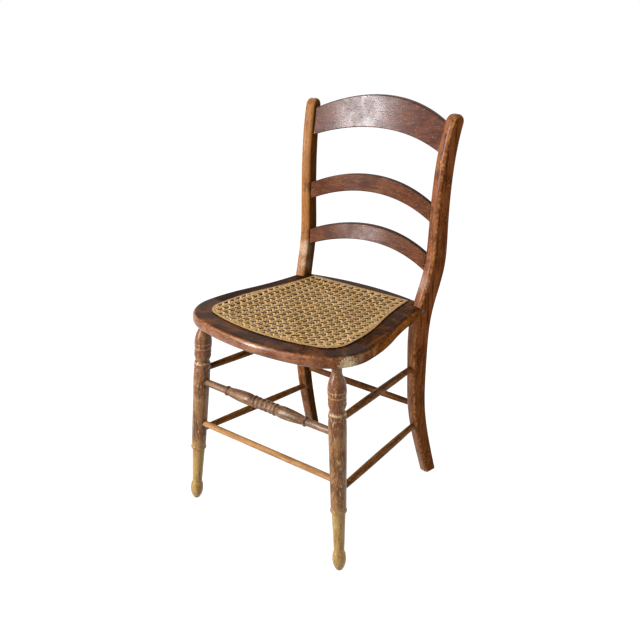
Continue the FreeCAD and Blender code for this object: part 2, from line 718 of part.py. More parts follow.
screws = []
screw_height = on_seat(0, size("post_back") + size("screw_place"), -size("screw_drop")).z
for word, side in SIDES.items():
    entry = on_post(side, size("screw_place"), size("post_thick"), screw_height)
    inside = on_post(side, size("screw_place"), 0, screw_height)
    screw = turned(f"seat_screw_{word}", "XZ_Plane", screw_profile(False), "V_Axis")
    screw_hole = turned(f"screw_hole_{word}", "XZ_Plane", screw_profile(True), "V_Axis")
    screw.Placement = screw_hole.Placement = along(entry, inside)
    screws.append(screw)

    body, plank = post_blank(f"post_blank_{word}", side, "post_thick")
    crown = plank
    middle = post_front(size("post_height")) + size("crown_depth") / 2
    for corner, wanted in (("front", lambda edge: edge.BoundBox.XMax < middle),
                           ("back", lambda edge: edge.BoundBox.XMin > middle)):
        top_edges = pick_edges(crown, lambda edge: edge.BoundBox.ZMin > size("post_height") - 0.01
                               and edge.BoundBox.XLength < 0.01 and wanted(edge))
        rounding = body.newObject("PartDesign::Fillet", f"post_crown_{corner}_{word}")
        rounding.Base = (crown, top_edges)
        bind(rounding, "Radius", f"post_crown_{corner}")
        doc.recompute()
        crown = rounding
    rounding = body.newObject("PartDesign::Fillet", f"post_rounding_{word}")
    rounding.Base = (crown, pick_edges(crown, lambda edge: edge.BoundBox.YLength < 0.01
                                       and edge.BoundBox.ZMax > 1.0))
    bind(rounding, "Radius", "post_round")
    doc.recompute()
    easing = body.newObject("PartDesign::Chamfer", f"post_foot_{word}")
    easing.Base = (rounding, pick_edges(rounding, lambda edge: edge.BoundBox.ZMax < 0.01))
    bind(easing, "Size", "post_foot_ease")
    cuts = [screw_hole]
    for label, (low, high, *rises) in SLATS.items():
        cuts.append(slat_box(f"{label}_mortise_{word}", side, low, high, True))
    for level in ("high", "low"):
        front, back = rung_ends(side, level)
        deep = size("post_mortise") + size("end_gap")
        cuts.append(peg(f"{level}_post_socket_{word}", "rung_end_dia", shifted(back, front, 20.0),
                        shifted(back, front, -deep), True))
    reach = Vector(side * (size("post_mortise") + size("end_gap")), 0, 0)
    cuts.append(peg(f"rear_socket_{word}", "rung_end_dia", REAR_Y[side] - reach, REAR_Y[side] + reach, True))
    cut(f"back_post_{word}", body, cuts)

screw_pair = doc.addObject("Part::Compound", "seat_screws")
screw_pair.Links = screws
screw_pair.Label = "seat_screws"


# Seat frame: one outline, bullnosed outside and open in the middle, made up of four boards

def lies_flat(edge):
    return edge.BoundBox.ZLength < 0.01


def middle_of(edge):
    return edge.valueAt((edge.FirstParameter + edge.LastParameter) / 2)


def from_ring(point, ring):
    """How far a point lies from a seat outline drawn flat."""
    wire = Part.Wire([curve.toShape() for curve in ring_outline(ring)])
    return wire.distToShape(Part.Vertex(point.x, point.y, 0))[0]


def on_back(edge):
    centre = middle_of(edge)
    return lies_flat(edge) and centre.y > size("cane_rear") and abs(centre.y - back_edge(centre.x)) < 0.1


def on_nose(edge):
    centre = middle_of(edge)
    return lies_flat(edge) and centre.y < OUTER["rear"][1] and from_ring(centre, OUTER) < 0.1


rear_x = OUTER["rear"][0]
behind = [(rear_x, back_edge(rear_x)), (-rear_x, back_edge(rear_x), 0, size("back_edge"))]


def frame_blank(word):
    """The whole seat frame, padded down from its top face, with its outer edges rounded."""
    body = new_body(f"seat_frame_{word}")
    sketch = new_sketch(body, "XY_Plane", f"seat_plan_{word}",
                        ring_outline(OUTER, behind) + ring_outline(OPENING))
    pad = body.newObject("PartDesign::Pad", f"seat_pad_{word}")
    pad.Profile = sketch
    pad.Reversed = True
    bind(pad, "Length", "rail_thick")
    doc.recompute()
    before = pad
    for radius, wanted in (("rail_nose", on_nose), ("rear_nose", on_back)):
        nose = body.newObject("PartDesign::Fillet", f"{radius}_{word}")
        nose.Base = (before, pick_edges(before, wanted))
        bind(nose, "Radius", radius)
        doc.recompute()
        before = nose
    body.Placement = SEAT
    return body


def board(name, points):
    """One board of the seat frame: what the frame has inside an outline seen from above."""
    region = new_body(name + "_region")
    sketch = new_sketch(region, "XY_Plane", name + "_joints", outline(points))
    block = region.newObject("PartDesign::Pad", name + "_block")
    block.Profile = sketch
    block.Midplane = True
    bind(block, "Length", "rail_thick * 3")
    region.Placement = SEAT
    piece = doc.addObject("Part::Common", name + "_board")
    piece.Base = frame
    piece.Tool = region
    return piece


frame = frame_blank("whole")
past = size("front_edge") + 100.0
joint = -size("corner_joint")
inner_corner = OPENING["swell_start"][0]
front_blank = board("seat_front_rail", [(-past, -past), (past, -past), (past, joint), (-past, joint)])
rear_left = (-OPENING["rear"][0], OPENING["rear"][1])
rear_blank = board("seat_rear_rail", [
    rear_left, OPENING["rear"], (tongue_line(past), past), (-tongue_line(past), past)])


def side_region(side):
    points = [(0, joint), (past, joint), (past, past), (tongue_line(past), past), OPENING["rear"],
              (0, OPENING["rear"][1])]
    return [(side * x, y) for x, y in points]


def rear_tenon(word, side, grow):
    """Stub tenon of the rear rail, or with grow its mortise in the side rail's tongue."""
    gap = size("fit") if grow else 0.0
    root = 5.0
    out = Vector(side * math.cos(TURN), -math.sin(TURN), 0)
    back = Vector(side * math.sin(TURN), math.cos(TURN), 0)
    y = (OPENING["rear"][1] + back_edge(OPENING["rear"][0])) / 2 + size("rear_tenon_back")
    wide = size("rear_tenon_width") + 2 * gap
    tall = size("rear_tenon_thick") + 2 * gap
    start = (Vector(side * tongue_line(y), y, -size("rail_thick") / 2)
             - out * root - back * (wide / 2) - Vector(0, 0, tall / 2))
    if side < 0:
        start = start + back * wide
    box = doc.addObject("Part::Box", f"rear_{'mortise' if grow else 'tenon'}_{word}")
    box.Length = size("rear_tenon_length") + root + (size("end_gap") if grow else 0.0)
    box.Width = wide
    box.Height = tall
    box.Placement = SEAT.multiply(Placement(start, Rotation(Vector(0, 0, 1), math.degrees(
        math.atan2(out.y, out.x)))))
    return box


dowels = []
sockets = {-1: [], 1: []}
for word, side in SIDES.items():
    for number in range(2):
        x = side * (inner_corner + size("dowel_first") + number * size("dowel_pitch"))
        middle = -size("rail_thick") / 2
        reach = size("dowel_length") / 2
        ends = [on_seat(x, joint + step, middle) for step in (-reach, reach)]
        holes = [on_seat(x, joint + step, middle) for step in (-reach - size("end_gap"), reach + size("end_gap"))]
        dowels.append(peg(f"corner_dowel_{word}_{number + 1}", "dowel_dia", *ends))
        sockets[side].append(peg(f"dowel_hole_{word}_{number + 1}", "dowel_dia", *holes, True))
dowel_set = doc.addObject("Part::Compound", "seat_dowels")
dowel_set.Links = dowels
dowel_set.Label = "seat_dowels"

leg_sockets = []
for word, side in SIDES.items():
    top = on_leg(side, LEG_TOP + size("leg_socket") + size("end_gap"))
    leg_sockets.append(peg(f"leg_socket_{word}", "neck_dia", on_leg(side, NECK), top, True))
cut("seat_front_rail", front_blank, leg_sockets + sockets[-1] + sockets[1])

rear_tenons = [rear_tenon(word, side, False) for word, side in SIDES.items()]
rear_rail = doc.addObject("Part::MultiFuse", "seat_rear_rail")
rear_rail.Shapes = [rear_blank] + rear_tenons
rear_rail.Label = "seat_rear_rail"

for word, side in SIDES.items():
    blank = board(f"seat_side_rail_{word}", side_region(side))
    notch, plank = post_blank(f"post_notch_{word}", side, "post_thick + 40", size("shoulder_gap"))
    hole = doc.getObject(f"screw_hole_{word}")
    cut(f"seat_side_rail_{word}", blank, [notch, hole, rear_tenon(word, side, True)] + sockets[side])


# Caned seat: the net lies on the frame around the opening, and the binder covers its edge

def cane_panel():
    """The net as one holed face, thickened: square gaps wherever one fits inside the opening."""
    ring = cane_ring(size("binder_width") * 0.5)
    edge = Part.Wire([curve.toShape() for curve in ring_outline(ring)])
    limit = Part.Face(Part.Wire([curve.toShape() for curve in ring_outline(cane_ring(size("cane_lap") + 2.0))]))
    pitch, half = size("cane_pitch"), size("cane_gap") / 2
    rows = int((size("cane_front") + size("cane_rear")) / pitch) + 1
    columns = int(size("cane_half_width") / pitch) + 1
    first = size("cane_first_row") - size("cane_front")
    gaps = []
    for row in range(rows):
        for column in range(-columns, columns):
            x, y = (column + 0.5) * pitch, first + row * pitch
            corners = [Vector(x - half, y - half, 0), Vector(x + half, y - half, 0),
                       Vector(x + half, y + half, 0), Vector(x - half, y + half, 0)]
            if all(limit.isInside(corner, 0.01, True) for corner in corners):
                gaps.append(Part.makePolygon(corners + corners[:1]))
    print("gaps in the cane net:", len(gaps))
    face = Part.makeFace([edge] + gaps, "Part::FaceMakerBullseye")
    return face.extrude(Vector(0, 0, size("cane_thick")))


panel = doc.addObject("Part::Feature", "cane_panel")
panel.Label = "cane_panel"
panel.Shape = cane_panel()
panel.Placement = SEAT

binder = new_body("cane_binder")
binder_plan = new_sketch(binder, "XY_Plane", "binder_plan",
                         ring_outline(cane_ring(0.0)) + ring_outline(cane_ring(size("binder_width"))))
strip = binder.newObject("PartDesign::Pad", "binder_strip")
strip.Profile = binder_plan
bind(strip, "Length", "binder_thick")
binder.Placement = SEAT.multiply(Placement(Vector(0, 0, size("cane_thick")), Rotation()))

doc.recompute()

NODES = ["back_post_left", "back_post_right", "crest_rail", "upper_slat", "lower_slat",
         "seat_front_rail", "seat_side_rail_left", "seat_side_rail_right", "seat_rear_rail",
         "cane_panel", "cane_binder", "seat_screws", "seat_dowels",
         "front_leg_left", "front_leg_right", "front_stretcher_turned", "front_stretcher_plain",
         "side_stretcher_upper_left", "side_stretcher_upper_right",
         "side_stretcher_lower_left", "side_stretcher_lower_right", "rear_stretcher"]

for item in doc.Objects:
    if "Invalid" in item.State or "Error" in item.State:
        raise RuntimeError(f"{item.Label} failed: {item.State}")
os.makedirs("parts", exist_ok=True)
for node in NODES:
    shape = doc.getObject(node).Shape
    if shape.isNull() or not shape.isValid() or not shape.Solids:
        raise RuntimeError(f"{node} has no valid solid")
for node in NODES:
    doc.getObject(node).Shape.exportStep(os.path.join("parts", node + ".step"))
print("sub-parts:", len(NODES))
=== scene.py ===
# %% [markdown]
# # A ladderback side chair with a caned seat
#
# This lesson dresses a chair whose wooden parts were built as solids beforehand. The solids
# already have the right shapes, so here they get their old varnish, their worn edges and the
# marks of use. The cane is different: a woven net can't be told by a flat plate with holes,
# so every strand of it is laid here one by one.
#
# The chair stands on z = 0, its front looks towards -y, and lengths are in metres.

# %% Bring in the chair
import math
from functools import partial

import bpy
import numpy as np
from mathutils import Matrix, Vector


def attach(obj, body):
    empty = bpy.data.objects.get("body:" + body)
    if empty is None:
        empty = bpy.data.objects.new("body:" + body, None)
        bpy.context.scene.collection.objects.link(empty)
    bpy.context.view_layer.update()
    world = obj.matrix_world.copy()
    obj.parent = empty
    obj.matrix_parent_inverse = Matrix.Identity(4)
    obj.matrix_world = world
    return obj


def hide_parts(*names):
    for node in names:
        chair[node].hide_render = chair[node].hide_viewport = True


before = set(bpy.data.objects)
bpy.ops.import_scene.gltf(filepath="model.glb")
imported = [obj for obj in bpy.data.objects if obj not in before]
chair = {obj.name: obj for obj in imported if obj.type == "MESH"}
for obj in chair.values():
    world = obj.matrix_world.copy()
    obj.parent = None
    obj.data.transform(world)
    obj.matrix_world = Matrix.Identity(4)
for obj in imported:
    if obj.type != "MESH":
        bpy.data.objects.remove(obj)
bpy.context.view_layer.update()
print("pieces in the chair:", len(chair))

# %% [markdown]
# ## Where the eye stands
#
# The photograph was taken from the front right, a little above the crest. The camera is put
# where the chair's known corners line up with it: turned 36 degrees from the chair's own
# middle line and looking down by 24 degrees. A normal lens keeps the near leg large and the
# far one small, as the photograph does.

# %% Camera
TURN_OF_VIEW = 0.6357
LOOK_DOWN = 0.4230
EYE = (0.86376, -1.17190, 1.05914)
LENS_MM = 43.94
FILM_MM = 36.0

lens = bpy.data.cameras.new("photo_camera")
lens.sensor_width = FILM_MM
lens.lens = LENS_MM
camera = bpy.data.objects.new("photo_camera", lens)
camera.location = EYE
camera.rotation_euler = (math.pi / 2 - LOOK_DOWN, 0.0, TURN_OF_VIEW)
bpy.context.scene.collection.objects.link(camera)
bpy.context.scene.camera = camera
print("camera looks down by", round(math.degrees(LOOK_DOWN), 1), "degrees")

# %% [markdown]
# ## Building finishes
#
# A finish is a material built from nodes. The same few steps come back in each: read a place
# on the piece, lay a noise of a known size in millimetres over it, turn a range of that noise
# into a mask, and lay one colour over another through the mask. The small class below holds
# those steps, so that each finish further down reads like a list of coats. Every node in this
# lesson, of a finish or of a shape, is added by the same short function.


# %% Steps shared by all finishes
def paint(code):
    """A colour from its six-figure code."""
    parts = [int(code[at:at + 2], 16) / 255 for at in (0, 2, 4)]
    linear = [part / 12.92 if part <= 0.04045 else ((part + 0.055) / 1.055) ** 2.4 for part in parts]
    return linear + [1.0]


def add_node(tree, kind, inputs=None, **settings):
    """A node, its settings, and its inputs given as numbers or as other nodes' outputs."""
    node = tree.nodes.new(kind)
    for key, value in settings.items():
        setattr(node, key, value)
    for key, value in (inputs or {}).items():
        if isinstance(value, bpy.types.NodeSocket):
            tree.links.new(value, node.inputs[key])
        else:
            node.inputs[key].default_value = value
    return node


class Finish:
    """A material under construction."""

    def __init__(self, name):
        self.material = bpy.data.materials.new(name)
        self.material.use_nodes = True
        self.tree = self.material.node_tree
        self.tree.nodes.clear()
        self.add = partial(add_node, self.tree)
        self.shader = self.add("ShaderNodeBsdfPrincipled")
        self.add("ShaderNodeOutputMaterial", {"Surface": self.shader.outputs[0]})
        self.place = self.add("ShaderNodeTexCoord").outputs["Object"]

    def drawn_out(self, grain, length):
        """Places squeezed along the grain, so that a noise on them is drawn out to fibres."""
        squeeze = [1.0 / length if axis == grain else 1.0 for axis in "XYZ"]
        return self.add("ShaderNodeMapping", {"Vector": self.place, "Scale": squeeze}).outputs[0]

    def noise(self, where, millimetres, detail=3.0, rough=0.55):
        """Clouds whose lumps are about so many millimetres across."""
        return self.add("ShaderNodeTexNoise", {
            "Vector": where, "Scale": 1000.0 / millimetres,
            "Detail": detail, "Roughness": rough}).outputs[0]

    def mask(self, value, low, high):
        """0 below low, 1 above high, with a soft step between; high may be the lower one."""
        return self.add("ShaderNodeMapRange", {"Value": value, "From Min": low, "From Max": high},
                        interpolation_type="SMOOTHSTEP").outputs[0]

    def calc(self, operation, first, second=0.0):
        return self.add("ShaderNodeMath", {0: first, 1: second}, operation=operation).outputs[0]

    def times(self, first, second):
        return self.calc("MULTIPLY", first, second)

    def larger(self, first, second):
        return self.calc("MAXIMUM", first, second)

    def along(self, where, direction):
        """How far a place lies, or a normal leans, in a direction."""
        return self.add("ShaderNodeVectorMath", {0: where, 1: direction},
                        operation="DOT_PRODUCT").outputs["Value"]

    def upwards(self, vector):
        """The z of a place or of a normal."""
        return self.add("ShaderNodeSeparateXYZ", {0: vector}).outputs["Z"]

    def stored(self, name):
        """A value that the mesh carries at each point."""
        return self.add("ShaderNodeAttribute", attribute_name=name).outputs["Fac"]

    def corners(self, millimetres, inside):
        """How enclosed a place is: hollows from outside, or with inside edges that stand proud."""
        open_share = self.add("ShaderNodeAmbientOcclusion", {"Distance": millimetres / 1000},
                              samples=8, inside=inside, only_local=inside).outputs["AO"]
        return self.calc("SUBTRACT", 1.0, open_share)

    def lay(self, colour, over, through):
        """One colour laid over another through a mask."""
        return self.add("ShaderNodeMix", {0: through, 6: colour, 7: over}, data_type="RGBA").outputs[2]

    def coat(self, colour, code, through, strength=1.0):
        """A paint laid over a colour through a mask, thinned to a strength."""
        return self.lay(colour, paint(code), self.times(through, strength))

    def give(self, **inputs):
        """Joins outputs or numbers to the shader's inputs, their names' spaces as low lines."""
        for name, value in inputs.items():
            socket = self.shader.inputs[name.replace("_", " ")]
            if isinstance(value, bpy.types.NodeSocket):
                self.tree.links.new(value, socket)
            else:
                socket.default_value = value


steps = [name for name in vars(Finish) if not name.startswith("_")]
print("a finish is built from", len(steps), "kinds of step")

# %% [markdown]
# ## Old varnished wood
#
# The chair's wood is a plain hardwood stained and varnished red-brown long ago. Three things
# tell it apart from new wood: the varnish is darkest on flat faces where nobody rubs, it is worn
# through to orange-brown on the edges that hands and clothes touch, and small chips show bare,
# pale wood. Corners and hollows are darkened too, as painted shade with grime. A photograph could
# be wrapped on instead, but a finish made of masks fits every piece, stays sharp close up and
# follows each piece's own grain.
#
# The varnish is built up below in the order in which it aged. The stained grain comes first:
# noise is drawn out along the grain, so that round clouds turn into fibres and bands.

# %% Stained grain
FIBRE_MM = 1.8
BAND_MM = 6.0
CLOUD_MM = 38.0
CHIP_MM = 2.6
PROUD_EDGE_MM = 7.0  # how deep the wood is looked into for an edge


class VarnishedWood(Finish):
    """Wood under old varnish, its fibres drawn out so many times along the axis of the grain."""

    def __init__(self, name, grain, streaks):
        super().__init__(name)
        self.grain = grain
        lengthwise = self.drawn_out(grain, streaks)
        self.fibres = self.noise(lengthwise, FIBRE_MM, 4.0, 0.6)
        self.bands = self.noise(lengthwise, BAND_MM, 4.0)
        self.clouds = self.noise(self.place, CLOUD_MM, 4.0, 0.6)
        self.chips = self.noise(self.drawn_out(grain, 5.0), CHIP_MM, 3.0, 0.65)
        self.proud = self.corners(PROUD_EDGE_MM, True)
        self.facing = self.add("ShaderNodeNewGeometry").outputs["Normal"]
        self.height = self.upwards(self.place)


def stained(wood, dark, body, light):
    """Dark and light bands and fibres, with darker and lighter clouds in the varnish."""
    colour = wood.lay(paint(dark), paint(body), wood.mask(wood.bands, 0.32, 0.62))
    colour = wood.coat(colour, light, wood.mask(wood.fibres, 0.48, 0.72), 0.7)
    colour = wood.coat(colour, dark, wood.mask(wood.clouds, 0.50, 0.72), 0.75)
    return wood.coat(colour, light, wood.mask(wood.clouds, 0.46, 0.28), 0.45)


def faded(wood, colour, start, end, tint, strength):
    """A slow change between two heights to another tint, through which the bands still show."""
    uneven = wood.times(wood.calc("SUBTRACT", wood.clouds, 0.5), 0.06)
    through = wood.mask(wood.calc("ADD", wood.height, uneven), start, end)
    streaky = wood.lay(paint(tint), colour, wood.mask(wood.bands, 0.40, 0.75))
    return wood.lay(colour, streaky, wood.times(through, strength))


print("fibres are", FIBRE_MM, "mm wide and clouds", CLOUD_MM, "mm")

# %% [markdown]
# ## Dirt and wear
#
# Dirt is dark: specks of it sit all over, and grime gathers beside the edges. Hollows get
# painted shade with grime when all the coats are laid.
# Wear is light. An edge that stands proud is found by looking inwards from the surface, since
# there is little wood behind it, and a rounding by the direction in which it faces. Chips lie
# in some patches and scratches mostly in others, as knocks and scrapes do.

# %% Dirt, wear and damage
SPECK_MM = 3.4
HOLLOW_SHADE_MM = 9.0  # how far off the other side of a hollow may be
RUBBED_PATCH_MM = 10.0
SCRATCH_MM = 1.1


def soiled(wood, colour, dirt, specks):
    """Dark specks all over, and grime beside the edges."""
    dots = wood.noise(wood.drawn_out(wood.grain, 2.0), SPECK_MM, 2.0, 0.6)
    colour = wood.coat(colour, dirt, wood.mask(dots, 0.58, 0.66), specks)
    grime = wood.times(wood.mask(wood.proud, 0.22, 0.48), wood.mask(wood.clouds, 0.36, 0.56))
    return wood.coat(colour, dirt, grime, 0.75)


def rubbed_places(wood, edge_from, shoulder, rubbed_to):
    """Where hands and clothes have rubbed: edges that stand proud, and one rounding."""
    leant = wood.along(wood.facing, rubbed_to)
    rounding = wood.times(wood.mask(leant, 0.40, 0.65), wood.mask(leant, 0.98, 0.85))
    edges = wood.mask(wood.proud, edge_from, edge_from + 0.20)
    patches = wood.mask(wood.noise(wood.place, RUBBED_PATCH_MM, 4.0, 0.7), 0.46, 0.60)
    return wood.times(wood.larger(edges, wood.times(rounding, shoulder)), patches)


def damaged_places(wood, chip_from):
    """Where the varnish is chipped or, in other places, scratched."""
    chipped = wood.mask(wood.chips, chip_from, chip_from + 0.08)
    chipped = wood.times(chipped, wood.mask(wood.clouds, 0.38, 0.58))
    scratches = wood.noise(wood.drawn_out(wood.grain, 30.0), SCRATCH_MM, 2.0, 0.5)
    scratched = wood.times(wood.mask(scratches, 0.66, 0.72), wood.mask(wood.clouds, 0.60, 0.40))
    return wood.larger(chipped, scratched)


def ring_at(wood, height, half):
    """A broken ring round a turned piece at a height, twice half wide."""
    away = wood.calc("ABSOLUTE", wood.calc("SUBTRACT", wood.height, height))
    return wood.times(wood.mask(away, half * 1.4, half * 0.5), wood.mask(wood.chips, 0.38, 0.54))


def patch_at(wood, centre, radius):
    """A ragged patch round a point."""
    away = wood.add("ShaderNodeVectorMath", {0: wood.place, 1: centre}, operation="DISTANCE")
    ragged = wood.times(wood.calc("SUBTRACT", wood.chips, 0.5), radius * 1.8)
    through = wood.mask(wood.calc("ADD", away.outputs["Value"], ragged), radius, radius * 0.3)
    return wood.times(through, wood.mask(wood.fibres, 0.30, 0.50))


print("scratches are", SCRATCH_MM, "mm wide")

# %% [markdown]
# ## Shine
#
# Old varnish is shiny where it is whole, matt where it is worn, and dull where dust or polish
# has settled. White surroundings would turn dark wood grey if its shine were strong, so the
# shine stays low, varies in clouds, and goes from faces that are turned from the window.

# %% Shine and relief
SOFTENED_EDGE = 0.0012
WEAR_DEPTH = 0.0004
UNDERSIDE_SHADE = 0.5  # how dark the painted shade is on faces that look down


def dull_tops_and_shaded_undersides(wood, top):
    """Faces that look up, as dull and dark as top says, and faces that look down, which get painted
    shade.
    """
    upward = wood.upwards(wood.facing)
    return wood.larger(wood.times(wood.mask(upward, 0.60, 0.95), top),
                       wood.times(wood.mask(upward, -0.30, -0.80), UNDERSIDE_SHADE))


def shine_and_relief(wood, colour, bare, dull, rough, shine):
    """Gives the shader its colour, roughness, shine and fine relief."""
    matt = wood.calc("ADD", wood.times(bare, 0.22), wood.times(wood.clouds, 0.24))
    relief = wood.calc("SUBTRACT", wood.times(wood.fibres, 0.35), wood.times(bare, 0.8))
    softened = wood.add("ShaderNodeBevel", {"Radius": SOFTENED_EDGE}, samples=4).outputs[0]
    bumps = wood.add("ShaderNodeBump", {
        "Height": relief, "Distance": WEAR_DEPTH, "Strength": 0.6, "Normal": softened}).outputs[0]
    patchy = wood.calc("ADD", 0.75, wood.times(wood.mask(wood.clouds, 0.60, 0.40), 0.4))
    polish = wood.times(wood.calc("SUBTRACT", 1.0, dull), patchy)
    wood.give(Base_Color=colour, Roughness=wood.calc("ADD", matt, rough), Normal=bumps,
              Specular_IOR_Level=wood.times(polish, shine))


print("edges look rounded by", round(SOFTENED_EDGE * 1000, 1), "mm")

# %% [markdown]
# ## All coats together
#
# One function lays the coats in their order. It takes what differs from piece to piece: the
# tones, how much is rubbed or chipped, and the marks that the photograph shows in known places.


# %% The whole varnish
def old_varnish(name, grain, dark, body, light, worn, wear=0.6, chips=0.5, dirt="211006",
                rough=0.20, shine=0.10, streaks=14.0, top=0.0, shoulder=0.0, specks=0.3,
                chip_from=0.64, edge_from=0.52, rubbed_to=(0.0, 0.0, 1.0), dull_side=None,
                fades=(), rings=(), patches=(), shades=()):
    """Old varnish with the grain along one axis.

    wear, chips and specks are how strong rubbed places, chips and dark specks are, top is how
    dark faces are that look up, and shoulder how worn the rounding is beside the face that looks
    to rubbed_to. Chips are the more the lower chip_from, and worn edges the wider the lower
    edge_from. Faces that look to dull_side have lost their shine.
    Fades are (from, to, tint, strength), rings (height, half width, tint, strength), patches
    (place, radius, tint, strength), and shades (direction, from, to, strength) paint shade on a side
    that lies that far in a direction.
    """
    wood = VarnishedWood(name, grain, streaks)
    colour = stained(wood, dark, body, light)
    for start, end, tint, strength in fades:
        colour = faded(wood, colour, start, end, tint, strength)
    colour = soiled(wood, colour, dirt, specks)

    rubbed = wood.times(rubbed_places(wood, edge_from, shoulder, rubbed_to), wear)
    bare = wood.larger(rubbed, wood.times(damaged_places(wood, chip_from), chips))
    colour = wood.coat(colour, worn, bare)
    for height, half, tint, strength in rings:
        colour = wood.coat(colour, tint, ring_at(wood, height, half), strength)
    for centre, radius, tint, strength in patches:
        through = wood.times(patch_at(wood, centre, radius), strength)
        colour = wood.coat(colour, tint, through)
        bare = wood.larger(bare, through)

    # Hollows and corners are darkened: painted shade, with grime.
    colour = wood.coat(colour, dirt, wood.mask(wood.corners(HOLLOW_SHADE_MM, False), 0.36, 0.80))
    # Faces that look up are darkened as old polish, and faces that look down get painted shade.
    dull = dull_tops_and_shaded_undersides(wood, top)
    colour = wood.coat(colour, dirt, dull, wood.mask(wood.clouds, 0.76, 0.40))
    # Each shade paints a side that is turned from the light darker, as painted shade, and takes its
    # shine.
    for direction, start, end, strength in shades:
        through = wood.mask(wood.along(wood.place, direction), start, end)
        colour = wood.coat(colour, dirt, through, strength)
        dull = wood.larger(dull, through)
    dull = wood.larger(dull, wood.times(bare, 0.5))
    if dull_side:
        dull = wood.larger(dull, wood.mask(wood.along(wood.facing, dull_side), 0.30, 0.80))
    shine_and_relief(wood, colour, bare, dull, rough, shine)
    return wood.material


def dress(material, *names):
    """Puts a finish on pieces whose shape is already right."""
    for name in names:
        for slot in chair[name].material_slots:
            slot.material = material
    print(material.name, "on", ", ".join(names))


# %% [markdown]
# ## Finishing the back
#
# The crest and the slats were bent and varnished flat, so they kept their deep colour, and the
# crest kept the most shine. The posts have been gripped for a hundred years: their outer
# roundings are rubbed to orange-brown, and the left post has lost its varnish in patches over
# the seat. The right post has a pale scuff there that is also painted as a highlight. Their inner
# faces, which are turned from the window, are painted nearly black as shade.

# %% Slats, crest and posts
POST_TURN = math.radians(13.7)  # each post stands turned in by this
POST_AXIS = -0.4393  # the y at which the posts' inner faces would meet
SLAT = dict(worn="a06a34", wear=0.7, chips=0.6, top=0.85, chip_from=0.61, edge_from=0.34)
slat_varnish = old_varnish(
    "slat_varnish", "X", dark="43210f", body="5f321b", light="7c4c29",
    rough=0.13, shine=0.15, **SLAT)
crest_varnish = old_varnish(
    "crest_varnish", "X", dark="3c1c10", body="572b19", light="734027",
    rough=0.11, shine=0.30, **SLAT)


def post_finish(name, side, body, light, shade, **more):
    """A post's varnish, with painted shade on its inner face, which is turned from the window."""
    outward = (side * math.cos(POST_TURN), -math.sin(POST_TURN), 0.0)
    inner = POST_AXIS * -math.sin(POST_TURN)
    return old_varnish(
        name, "Z", dark="4f280f", body=body, light=light, worn="bc8850", wear=0.9, chips=0.9,
        chip_from=0.60, specks=0.45, shoulder=0.7, rubbed_to=outward,
        shades=[(outward, inner + 0.0045, inner + 0.001, shade)], **more)


left_varnish = post_finish(
    "left_post_varnish", -1, body="764520", light="a26c36", shade=0.60, shine=0.2,
    fades=[(0.30, 0.42, "a46a2e", 0.7)],
    patches=[((-0.150, 0.150, 0.485), 0.024, "c8ac90", 0.7),
             ((-0.149, 0.146, 0.450), 0.020, "ccb49a", 0.75)])
right_varnish = post_finish(
    "right_post_varnish", 1, body="8a4e2a", light="98603a", shade=0.9, shine=0.22,
    dull_side=(0.97, -0.24, 0.0), fades=[(0.36, 0.12, "5e3c1a", 0.5)],
    # The pale patch over the seat is a scuff that also paints the highlight on the front face.
    patches=[((0.141, 0.145, 0.475), 0.030, "c9a894", 0.45)])
dress(crest_varnish, "crest_rail")
dress(slat_varnish, "upper_slat", "lower_slat")
dress(left_varnish, "back_post_left")
dress(right_varnish, "back_post_right")

# %% [markdown]
# ## Finishing the seat frame
#
# Four boards make the frame, the grain runs along each, and each has its own tone. The flat top
# beside the cane is nearly black with old polish, the rounded nose is rubbed brown, and at the
# near front corner the end grain of the front board has lost its varnish altogether.

# %% Seat boards
OLD_POLISH = dict(worn="b0763c", wear=0.9, chips=0.9, rough=0.12, top=0.9, shoulder=0.6,
                  chip_from=0.61, dull_side=(0.98, 0.0, 0.2))
front_varnish = old_varnish(
    "front_rail_varnish", "X", dark="5a321d", body="824d31", light="a6764e", shine=0.30,
    patches=[((0.182, -0.168, 0.428), 0.023, "ead2aa", 1.0),
             ((0.192, -0.146, 0.436), 0.012, "a28b66", 0.7)], **OLD_POLISH)
left_side_varnish = old_varnish(
    "left_side_rail_varnish", "Y", dark="3a1e0e", body="6a4022", light="906438", shine=0.05,
    **OLD_POLISH)
right_side_varnish = old_varnish(
    "right_side_rail_varnish", "Y", dark="54290e", body="8f5422", light="b0743a", shine=0.08,
    patches=[((0.170, 0.088, 0.430), 0.009, "a9814c", 0.6),
             ((0.198, -0.110, 0.430), 0.012, "a28b66", 0.5)], **OLD_POLISH)
rear_varnish = old_varnish(
    "rear_rail_varnish", "X", dark="3d1f0e", body="704424", light="986a3c", shine=0.14,
    **OLD_POLISH)
dress(front_varnish, "seat_front_rail")
dress(left_side_varnish, "seat_side_rail_left")
dress(right_side_varnish, "seat_side_rail_right")
dress(rear_varnish, "seat_rear_rail")

# %% [markdown]
# ## Finishing the legs and stretchers
#
# Shoes and mops have taken the colour off the turned work. The urns under the seat are still
# brown, the shafts are a streaky tan, and below the lower ring the wood is almost bare and
# yellow. Pale polish and dust fill the scribed lines, which are painted as pale rings at given
# heights.
# The plain stretcher between the front legs is a later dowel of pale wood.

